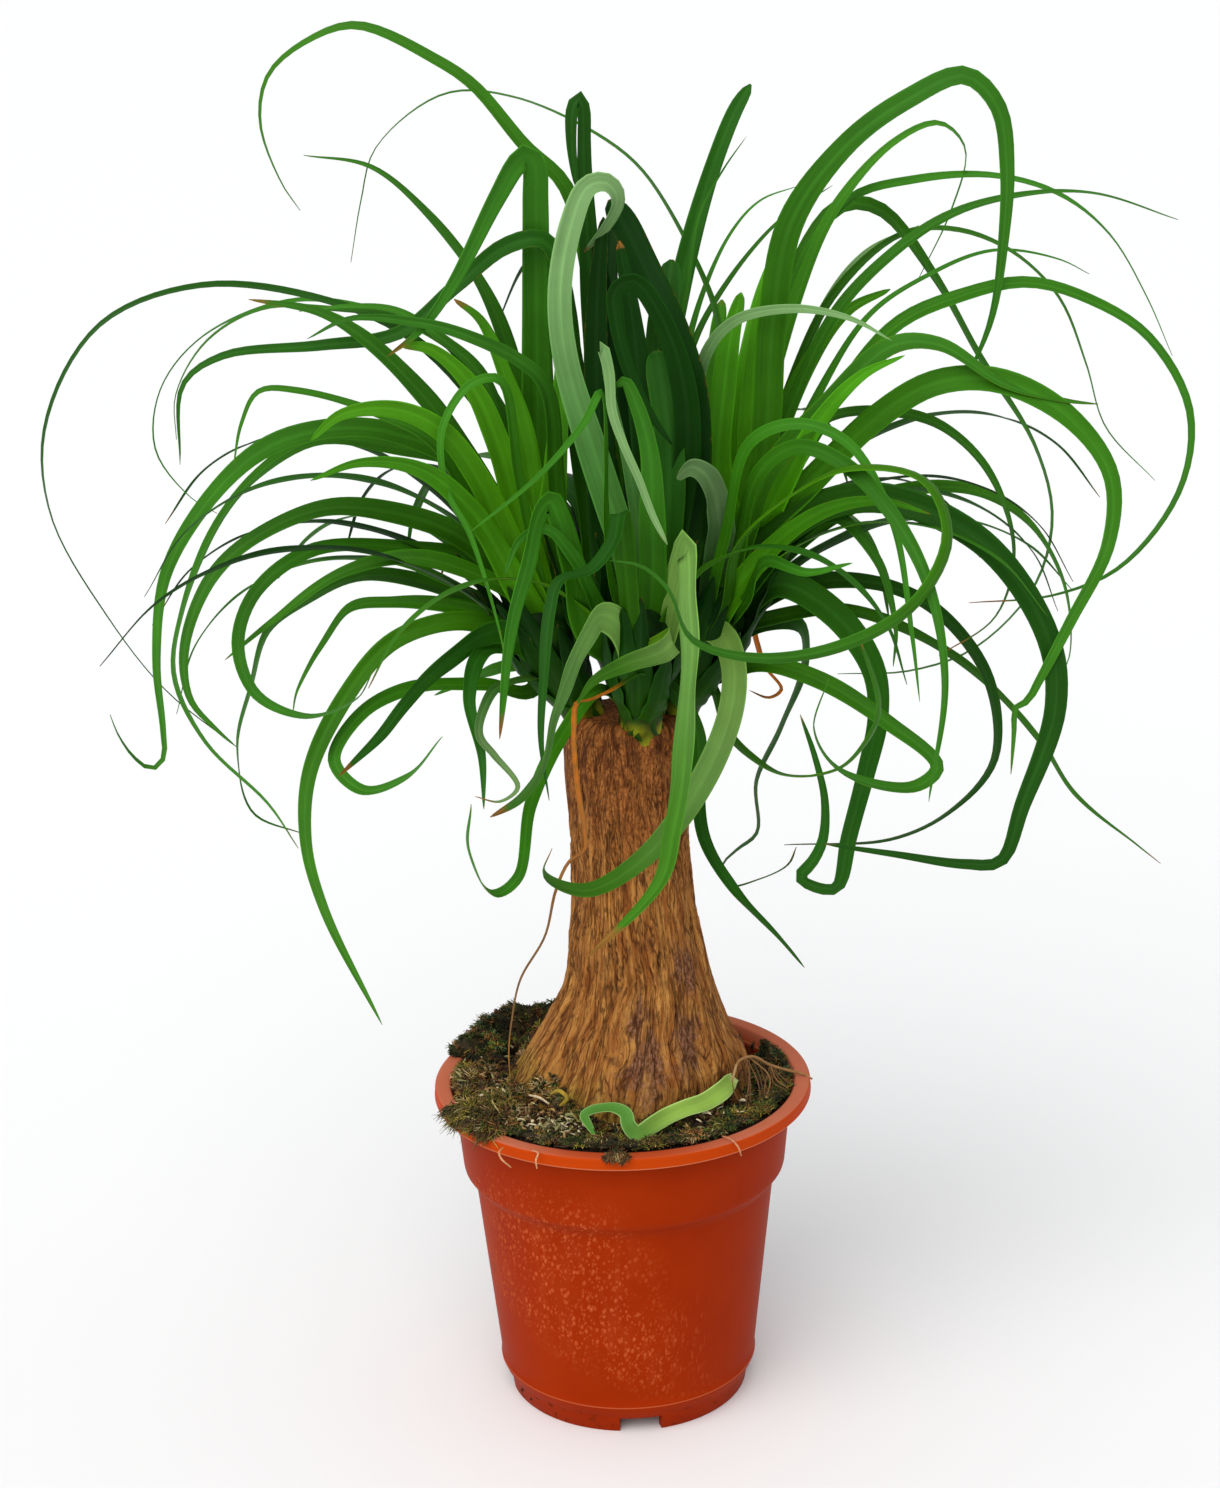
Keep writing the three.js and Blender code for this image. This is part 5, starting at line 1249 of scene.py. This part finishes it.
def make_moss(name, seed):
    """A mat of moss: a lumpy dark pad thick with tufts, of each kind by its share."""
    draw = np.random.default_rng(seed)
    mat = MOSS[name]
    tufts = mat["tufts"]
    along = int((mat["span"][1] - mat["span"][0]) * 1.6) + 8
    share = np.linspace(0, 1, along)[:, None]
    width = np.linspace(0, 1, 20)[None, :]
    x, y, low, thick = mat_level(mat, share, width)
    top = np.stack([x, y, low + thick], -1)
    under = np.stack([x, y, low - 0.4], -1)[:, ::-1]
    pad = np.concatenate([top, under], 1)[None]
    shade = (0.5 + 0.5 * patchy(pad[..., 0] / 5, pad[..., 1] / 5, 42))[..., None]
    u = np.clip(draw.uniform(-0.06, 1.06, tufts), 0.01, 0.99)
    v = np.minimum(draw.uniform(0.02, 1.15, tufts), 0.99)
    x, y, low, thick = mat_level(mat, u, v)
    side = np.where((v > 0.9) | (np.abs(u - 0.5) > 0.46), draw.uniform(0.15, 1, tufts), 1)
    middles = np.stack([x, y, low + thick * side - 0.5], -1)
    kinds = pick_kinds(x, y, mat["kinds"], draw)
    batches = [(pad, {"tint": mix(rgb(0x15120A), rgb(0x3A3014), shade)})]
    batches.append(moss_tufts(middles, kinds, mat["length"], mat["drape"] * v, draw))
    return piece(name + "_tufts", batches, moss_skin, [name])


def pick_kinds(x, y, shares, draw):
    """A kind of moss for each place, by shares, with neighbours mostly alike."""
    likely = draw.uniform(0, 1, (len(shares), len(x))) ** (1 / np.maximum(1e-3, np.array(shares))[:, None])
    alike = np.array([1 + 0.6 * patchy(x / 8, y / 8, 60 + kind) for kind in range(len(shares))])
    return np.argmax(likely**0.35 * alike * (np.array(shares)[:, None] > 0), 0)


def make_carpet():
    """Moss and litter over all the soil that the mats leave free, and up the foot of the bark,
    highest at the back left and the front left, as pieces that share it out round the axis."""
    draw = np.random.default_rng(56)
    count = CARPET["tufts"]
    turn = draw.uniform(0, TURN, count)
    bark = trunk_surface(turn, 158 + 0 * turn)[0]
    radius = np.sqrt(draw.uniform(bark**2, CARPET["reach"] ** 2))
    x, y = radius * np.cos(turn), radius * np.sin(turn)
    level = crumbled(x, y)
    climb = CARPET["climbing"]
    at_left = draw.uniform(0, 1, climb) < 0.4
    up = np.where(at_left, draw.uniform(185, 262, climb), draw.uniform(95, 430, climb))
    high = 3 + 15 * np.exp(-(((up - 140) / 34) ** 2)) + 15 * np.exp(-(((up - 222) / 20) ** 2))
    high = (high + 3 * patchy(up / 12, 0 * up, 61)) * draw.uniform(0, 1, climb)
    at = np.radians(up)
    foot, middle = trunk_surface(at, 160 + high)
    climbing = np.stack([middle + foot * np.cos(at), foot * np.sin(at)], -1)
    heights = ground(climbing[:, 0], climbing[:, 1]) + high
    foot, middle = trunk_surface(at, heights)
    climbing = np.stack([middle + (foot - 0.6) * np.cos(at), (foot - 0.6) * np.sin(at), heights], -1)
    middles = np.concatenate([np.stack([x, y, level], -1), climbing])
    left = step(middles[:, 0], 10, -50) > draw.uniform(0, 1, len(middles))
    x, y = middles[:, 0], middles[:, 1]
    kinds = [pick_kinds(x, y, CARPET[side], draw) for side in ("left", "elsewhere")]
    kinds = np.where(left, *kinds)
    order = np.argsort(np.arctan2(y, x))
    for part, share in enumerate(np.array_split(order, CARPET["pieces"])):
        tufts = moss_tufts(middles[share], kinds[share], CARPET["length"], CARPET["drape"], draw)
        piece(f"moss_carpet_{part + 1}", [tufts], moss_skin)


def make_bits(name, rows, finish):
    """Single fibres, straws and thin roots: tubes along smooth routes that thin towards both ends.
    A row is a route as right, back and up, a thickness, and a colour."""
    draw = np.random.default_rng(len(rows))
    stations = 26
    share = np.linspace(0, 1, stations)
    lines = np.stack([evenly(flowing(route), stations) for route, _, _ in rows])
    swell = 0.25 + 0.75 * np.sin(np.pi * mix(0.06, 0.94, share)) ** 0.5
    radii = np.array([thickness / 2 for _, thickness, _ in rows])[:, None] * swell
    tint = np.array([rgb(code) for _, _, code in rows])[:, None, None]
    tint = tint * draw.uniform(0.75, 1.15, (len(rows), stations, 1, 1))
    return piece(name, [(tubes(lines, radii, draw, 8), {"tint": tint})], finish)


def hanging_roots():
    """Fine roots that hang from the arched root beside the shed leaf down to the moss."""
    draw = np.random.default_rng(77)
    arch = evenly(flowing(ARCHED_ROOT), 30)
    rows = []
    for start in arch[draw.integers(2, 20, 22)]:
        end = start + draw.uniform((-9, -16, 0), (9, 2, 0))
        end[2] = ground(end[0], end[1]) + 2
        bend = mix(start, end, 0.5) + draw.normal(size=3) * 1.8
        colour = (0x6E4A2A, 0x8A6238, 0x4E3420)[len(rows) % 3]
        rows.append(([start, bend, end], draw.uniform(0.45, 0.8), colour))
    return rows


def make_flakes():
    """Curled dry flakes on the moss and the soil, most of them at the left of the front: short
    flat strips bent along their length."""
    draw = np.random.default_rng(88)
    count, heaped = FLAKES["count"], FLAKES["heaped"]
    crowded = draw.uniform(0, 1, count) < 0.6
    degrees = np.where(crowded, draw.normal(215, 20, count), draw.uniform(0, 360, count))
    bark = trunk_surface(np.radians(degrees), 160 + 0 * degrees)[0]
    x, y = polar(degrees, mix(bark + 2, 83, draw.uniform(0, 1, count)))
    for axis, places in enumerate((x, y)):
        places[:heaped] = draw.normal(FLAKES["heap"][axis], FLAKES["spread"][axis], heaped)
    lift = draw.uniform(1.5, 7, count)
    middle = np.stack([x, y, crumbled(x, y) + lift], -1)[:, None]
    heading = unit(draw.normal(size=(count, 1, 3)) * (1, 1, 0.45))
    t = np.linspace(-1, 1, 6)[None, :, None]
    size = draw.uniform(0.8, 3, (count, 1, 1))
    bow = unit(draw.normal(size=(count, 1, 3)) + (0, 0, 0.8)) * size * draw.uniform(0.1, 0.7, (count, 1, 1))
    lines = middle + heading * size * t - bow * t**2
    radii = draw.uniform(0.3, 0.9, (count, 1)) * np.array([0.3, 0.9, 1, 1, 0.8, 0.2])
    shades = np.array([rgb(code) for code in (0x5E3C20, 0xA07C4C, 0xD2C49C, 0x8C8A58, 0x2E1C10)])
    kinds = draw.choice(len(shades), count, p=(0.3, 0.25, 0.17, 0.13, 0.15))
    kinds[:heaped] = draw.choice((2, 3), heaped)
    tint = shades[kinds][:, None, None]
    rings = tubes(lines, radii, draw, 6, 0.35)
    return piece("dry_flakes", [(rings, {"tint": tint})], fibre_finish)


# ---- Leaves ----


def on_plane(point):
    """Where the front view shows a point against the upright plane through the axis."""
    return EYE + (point - EYE) / (1 - point[1] / EYE[1])


def root_of(head, item, upper):
    """A leaf's root: a place on its stem, each leaf at a golden-ratio step, set out from the
    stem's middle on the side that the leaf turns its back to."""
    foot, top = np.array(HEADS[head], float)
    share = mix(*ROOT_SPAN, (item * GOLDEN) % 1)
    return mix(foot, top, share) - ROOT_OUT * upper


def seen_route(head, item, row):
    """A leaf of the front view: each point of its route lies on the sight line through its place
    on the upright plane, at a depth that runs as a parabola from the root through the depths given
    halfway and at the tip."""
    seen = np.array(row["seen"], float)
    side = 1 if seen[-1, 0] < seen[0, 0] else -1
    start = np.radians(row["turn"][0])
    upper = np.array([side * np.sin(start), -np.cos(start), 0])
    root = root_of(head, item, upper)
    flat = np.vstack([on_plane(root)[[0, 2]], seen])
    walked = np.cumsum(np.hypot(*np.diff(flat, axis=0).T))
    share = walked / walked[-1]
    half, end = row["depth"]
    depth = root[1] + share * (4 * half - end) + share**2 * (2 * end - 4 * half)
    plane = np.stack([seen[:, 0], 0 * depth, seen[:, 1]], -1)
    route = EYE + (plane - EYE) * (1 - depth / EYE[1])[:, None]
    return np.vstack([root, route]), side, np.array([0, -1, 0.0])


def ruled_route(head, item):
    """A leaf that the front view doesn't show: equal steps whose lean from upright grows from its
    start to its end by a power of the share walked."""
    rule = HIDDEN_LEAVES[head]
    heading = np.radians(mix(*rule["span"], (item + 0.2 + 0.6 * chance(item, 1)) / rule["count"]))
    out = np.array([np.cos(heading), np.sin(heading), 0])
    first = mix(*RULE["lean"], chance(item, 3))
    last = 90 + mix(*rule["droop"], chance(item, 4))
    share = ((np.arange(RULE["steps"]) + 0.5) / RULE["steps"]) ** RULE["power"]
    lean = np.radians(mix(first, last, share))[:, None]
    step_length = mix(*rule["reach"], chance(item, 2)) / RULE["steps"]
    steps = (out * np.sin(lean) + (0, 0, 1) * np.cos(lean)) * step_length
    root = root_of(head, item + 0.5, -out)
    return np.vstack([root, root + np.cumsum(steps, 0)]), 1, -out


def blade_frames(lines, upper):
    """For each station of each leaf, its direction and the side that its upper face looks to. The
    upper side starts as given and is carried along without spin: at each station the part of it
    along the leaf is taken away."""
    forward = unit(np.gradient(lines, axis=1))
    carried = np.empty_like(forward)
    now = upper
    for station in range(lines.shape[1]):
        ahead = forward[:, station]
        now = unit(now - ahead * np.sum(now * ahead, 1, keepdims=True))
        carried[:, station] = now
    return forward, carried


def blades(routes, uppers, sides, widths, tapers, turns, draw, stations=80):
    """Strap leaves as closed skins. Across a leaf the upper face is a shallow gutter, lowest at
    the midrib, its depth growing as a power of the way in from the edges; the under face lies
    below it by a thickness that thins to the edges. The width falls with a power of the share of
    the length, swells where it clasps the stem, and closes in a short round tip."""
    lines = np.stack([evenly(flowing(route), stations) for route in routes])
    forward, carried = blade_frames(lines, np.array(uppers, float))
    share = np.linspace(0, 1, stations)[None, :]
    phase = draw.uniform(0, 1, (4, len(routes), 1))
    turn = np.array(turns, float)
    angle = np.radians(mix(turn[:, :1], turn[:, 1:], share))
    angle = angle + 0.10 * np.sin(TURN * (share * 1.7 + phase[0])) * step(share, 0.1, 0.4)
    across = np.cross(forward, carried)
    side = np.array(sides, float)[:, None, None]
    up = carried * np.cos(angle)[..., None] + side * across * np.sin(angle)[..., None]
    width = np.array(widths, float)[:, None]
    tip, fall, clasp = np.array(tapers, float).T[:, :, None]
    width = width * (1 - (1 - tip) * share**fall) * (1 + clasp * np.exp(-((share / 0.05) ** 2)))
    width = width * (1 + 0.05 * np.sin(TURN * (share * 2.6 + phase[1]))) * np.sqrt(1 - share**40 * 0.98)
    wide = np.cross(forward, up) * width[..., None] / 2
    v = np.concatenate([np.linspace(-1, 1, 9), np.linspace(1, -1, 9)])[None, None, :]
    below = np.concatenate([np.zeros(9), np.ones(9)])[None, None, :]
    gutter = mix(0.16, 0.1, step(share, 0, 0.3))[..., None] * width[..., None]
    level = -gutter * (1 - np.abs(v) ** 1.6)
    ripple = np.sin(TURN * (share * 5.5 + phase[2]))[..., None] * (v > 0)
    ripple = ripple + np.sin(TURN * (share * 6.3 + phase[3]))[..., None] * (v < 0)
    level = level + 0.035 * width[..., None] * ripple * np.abs(v) ** 2
    level = level - below * mix(0.25, 0.6, 1 - v**2) * mix(1, 0.5, share)[..., None]
    rings = lines[:, :, None] + wide[:, :, None] * v[..., None] + up[:, :, None] * level[..., None]
    return rings, share[..., None], v, below, width[..., None]


def leaf_layers(rings, share, v, below, width, tones, dry, fresh, draw):
    """A leaf's colours: its tone, more yellow underneath as painted light shining through the leaf, and
    more yellow towards the root, dark where the leaf bases shade each other, paler along the
    midrib; and how dry it is, most at a thin tip and along its edges. A dry leaf starts green."""
    count = len(rings)
    top, under = (np.array([tone[side] for tone in tones])[:, None, None] for side in (0, 1))
    # The under side's colour is painted light shining through the leaf.
    tint = mix(top, under, below[..., None])
    end = np.array([tone[2] for tone in tones])[:, None, None]
    tint = mix(tint, end, step(share, 0.35, 0.8)[..., None])
    tint = tint * draw.uniform(0.75, 1.2, (count, 1, 1, 1))
    yellow = draw.uniform(0, 1, (count, 1, 1, 1)) ** 2 * 0.4
    tint = mix(tint, tint * (1.4, 1.12, 0.5), yellow)
    young = step(share, 0.5, 0.12)[..., None]
    tint = mix(tint, tint * (1.3, 1.2, 0.75) + (0.006, 0.014, 0), young * 0.6)
    midrib = np.exp(-((v / 0.12) ** 2))[..., None]
    tint = mix(tint, tint * 1.4 + 0.006, midrib * 0.5)
    shaded = step(share, 0.2, 0.0)[..., None]
    tint = mix(tint, rgb(0x142E06), shaded * 0.85)
    withered = np.array(dry)[:, None, None] > 0
    hidden = step(share, 0.23, 0.17) * withered
    tint = mix(tint, rgb(0x24480E), hidden[..., None])
    tip = draw.uniform(0.9, 1, (count, 1, 1))
    dryness = step(share, tip, tip + 0.07) * draw.uniform(0.2, 0.9, (count, 1, 1)) * (width < 4.5)
    edges = step(np.abs(v), 0.72, 1) * draw.uniform(0, 0.6, (count, 1, 1)) ** 1.3 * step(share, 0.1, 0.5)
    fresh = np.array(fresh, float)[:, None, None]
    dryness = dryness + edges + np.array(dry)[:, None, None] + 0.8 * step(share, fresh, fresh + 0.05)
    dryness = np.clip(dryness, 0, 1) * (1 - hidden)
    length = np.linalg.norm(np.diff(rings[:, :, 0], axis=1), axis=-1).sum(1)[:, None, None]
    across = v * width / 2 + draw.uniform(0, 500, (count, 1, 1))
    place = np.stack(np.broadcast_arrays(across, share * length), -1)
    return {"tint": tint, "dryness": dryness, "place": place, "edge": np.abs(v)}


def stem(head):
    """The foot of a head's stem, its direction, and two directions square to it."""
    foot, top = np.array(HEADS[head], float)
    axis = unit(top - foot)
    aside = unit(np.cross(axis, (0, 1, 0.1)))
    return foot, axis, aside, np.cross(axis, aside)


def bundle_outline():
    """The bundle of leaf bases, as many heights and radii along it."""
    return flowing([(height, radius, 0) for height, radius in BUNDLE], 9)


def make_bulb(head):
    """A head's stem and its bundle of leaf bases: the bundle's outline carried along the stem,
    with folds between clasping bases that wind up round it."""
    foot, axis, aside, other = stem(head)
    outline = bundle_outline()
    turn = np.linspace(0, TURN, 64, endpoint=False)[None, :]
    height = outline[:, :1]
    fold = np.abs(np.sin(2.5 * turn + height * 0.11)) * np.abs(np.cos(1.5 * turn - height * 0.17))
    radius = np.maximum(outline[:, 1:2], 0.05) * (0.93 + 0.1 * fold)
    ring = np.cos(turn)[..., None] * aside + np.sin(turn)[..., None] * other
    rings = (foot + axis * height[..., None] + ring * radius[..., None])[None]
    bud = step(height, 16, 6)[..., None]
    # Darker in the grooves between the bases and lighter on their ridges: painted shade in the grooves.
    tint = mix(rgb(0x0A2006), rgb(0x1E4208), fold[..., None])
    tint = mix(tint, mix(rgb(0x4A500A), rgb(0x96961A), fold[..., None]), bud)[None]
    dryness = (0.45 * step(height, 3, -4) + 0 * fold)[None]
    place = np.stack(np.broadcast_arrays(turn * 12, height + 0 * turn), -1)[None]
    return rings, {"tint": tint, "dryness": dryness, "place": place, "edge": 0 * place[..., 0]}


def sheath_route(head, item):
    """A short pointed leaf base that lies on the bundle: it follows the bundle's outline up from
    where it comes out of it, each a little further out than the last, and leans away at its tip."""
    foot, axis, aside, other = stem(head)
    turn = TURN * item * GOLDEN
    out = np.cos(turn) * aside + np.sin(turn) * other
    share = np.linspace(0, 1, 7)
    start = 2 + SHEATHS["start"] * chance(item, 6)
    height = start + share * mix(*SHEATHS["reach"], chance(item, 7))
    outline = bundle_outline()
    radius = np.interp(np.minimum(height, 60), outline[:, 0], outline[:, 1])
    radius = radius + mix(-5, 0.3 + 0.14 * item, step(share, 0, 0.4)) + SHEATHS["flare"] * share**3
    return foot + axis * height[:, None] + out * radius[:, None], 1, -out


def make_head(head, finish):
    """One head: its leaves of the front view, the ones behind, and its bundle of leaf bases."""
    draw = np.random.default_rng(sum(map(ord, head)))
    rows = list(LEAVES[head])
    made = [seen_route(head, item, row) for item, row in enumerate(rows)]
    for item in range(HIDDEN_LEAVES[head]["count"]):
        made.append(ruled_route(head, item))
        rows.append(leaf(mix(*RULE["width"], chance(item, 5)), tone=RULE["tones"][item % 3]))
    for item in range(SHEATHS["count"]):
        made.append(sheath_route(head, item))
        # Leaf bases take the dark tone: painted shade among them.
        rows.append(leaf(SHEATHS["width"], tone="dark"))
    routes, sides, uppers = zip(*made)
    widths, tapers, turns, tones, fresh = (
        [row[key] for row in rows] for key in ("width", "taper", "turn", "tone", "fresh")
    )
    dry = [0.5 if tone in ("dry", "withered") else 0 for tone in tones]
    shaped = blades(routes, uppers, sides, widths, tapers, turns, draw)
    layers = leaf_layers(*shaped, [TONES[tone] for tone in tones], dry, fresh, draw)
    batches = [(shaped[0], layers), make_bulb(head)]
    return piece("leaves_" + head, batches, finish, ["leaf_head_" + head])


def make_fallen_leaf(finish):
    """The shed leaf: a strap leaf laid on the soil that turns up on its edge at its end."""
    draw = np.random.default_rng(5)
    route = np.array(FALLEN_LEAF, float)
    route[:, 2] += ground(route[:, 0], route[:, 1])
    turn = (FALLEN_LEAF_TURN,) * 2
    shaped = blades([route], [(0, 0, 1)], [1], [FALLEN_LEAF_WIDTH], [FALLEN_LEAF_TAPER], [turn], draw, 90)
    rings, share, v, below, _ = shaped
    layers = leaf_layers(*shaped, [(rgb(0x8CAE4A),) * 3], [0], [2], draw)
    tint = mix(rgb(0x8CAE4A), rgb(0x4C7E30), step(share, 0.35, 0.7)[..., None])
    tint = mix(tint, rgb(0xC0CC80), step(share, 0.06, 0.0)[..., None])
    # The under side of the far half is darkened: painted shade where the leaf turns up on its edge.
    tint = mix(tint, tint * 0.55, (below * (share > 0.5))[..., None])
    layers["tint"] = mix(tint, rgb(0xB4CC8A), (step(np.abs(v), 0.7, 1) * 0.35)[..., None])
    layers["dryness"] = layers["dryness"] * 0.2
    return piece("shed_strap_leaf", [(rings, layers)], finish, ["fallen_leaf"])


# ---- The plant ----

make_pot()
make_trunk()
make_soil()
make_crumbs()

moss_skin = tinted_finish("moss", 0.85, 0.7, 0.3)
for seed, name in enumerate(MOSS, FIRST_MOSS_SEED):
    make_moss(name, seed)
make_carpet()

fibre_finish = tinted_finish("dry_fibres", 0.7, 1.2, 0.1)
make_bits("fibres_and_roots", BITS + hanging_roots(), fibre_finish)
make_flakes()

leaf_skin = leaf_finish()
for name in HEADS:
    make_head(name, leaf_skin)
make_fallen_leaf(leaf_skin)


# ---- Floor, light and camera ----



def make_floor():
    """A wide pale plane in the foot's plane."""
    corners = [(x * FLOOR_REACH, y * FLOOR_REACH, 0) for x, y in ((-1, -1), (1, -1), (1, 1), (-1, 1))]
    mesh = bpy.data.meshes.new("floor")
    mesh.from_pydata(corners, [], [(0, 1, 2, 3)])
    pale = Finish("pale_floor", {"Base Color": (0.86, 0.86, 0.86, 1), "Roughness": 0.9})
    mesh.materials.append(pale.material)
    floor = bpy.data.objects.new("floor", mesh)
    bpy.context.scene.collection.objects.link(floor)


def make_light():
    """A pale dome and one broad soft lamp from the upper left of the front."""
    world = bpy.data.worlds.new("studio")
    world.use_nodes = True
    backdrop = world.node_tree.nodes["Background"]
    backdrop.inputs["Color"].default_value = (0.95, 0.97, 1, 1)
    backdrop.inputs["Strength"].default_value = LIGHT["dome"]
    bpy.context.scene.world = world
    lamp = bpy.data.lights.new("window", "SUN")
    lamp.energy = LIGHT["lamp"]
    lamp.angle = np.radians(LIGHT["spread"])
    lamp.color = (1, 0.98, 0.95)
    held = bpy.data.objects.new("window", lamp)
    held.rotation_euler = np.radians(LIGHT["turn"])
    bpy.context.scene.collection.objects.link(held)


def make_camera():
    """The front view: looking along +Y and down by the pitch, rolled a little clockwise."""
    pitch, roll = np.radians(CAMERA["pitch"]), np.radians(CAMERA["roll"])
    ahead = np.array([0, np.cos(pitch), -np.sin(pitch)])
    level_up = np.array([0, np.sin(pitch), np.cos(pitch)])
    right = np.cos(roll) * np.array([1, 0, 0]) - np.sin(roll) * level_up
    up = np.sin(roll) * np.array([1, 0, 0]) + np.cos(roll) * level_up
    camera = bpy.data.cameras.new("front_view")
    camera.lens = CAMERA["lens"]
    camera.sensor_width = CAMERA["sensor"]
    camera.clip_end = 200
    held = bpy.data.objects.new("front_view", camera)
    placed = np.column_stack([right, up, -ahead, EYE * MM])
    held.matrix_world = Matrix([*placed.tolist(), (0, 0, 0, 1)])
    bpy.context.scene.collection.objects.link(held)
    bpy.context.scene.camera = held


make_floor()
make_light()
make_camera()
bpy.context.scene.view_settings.view_transform = "Standard"
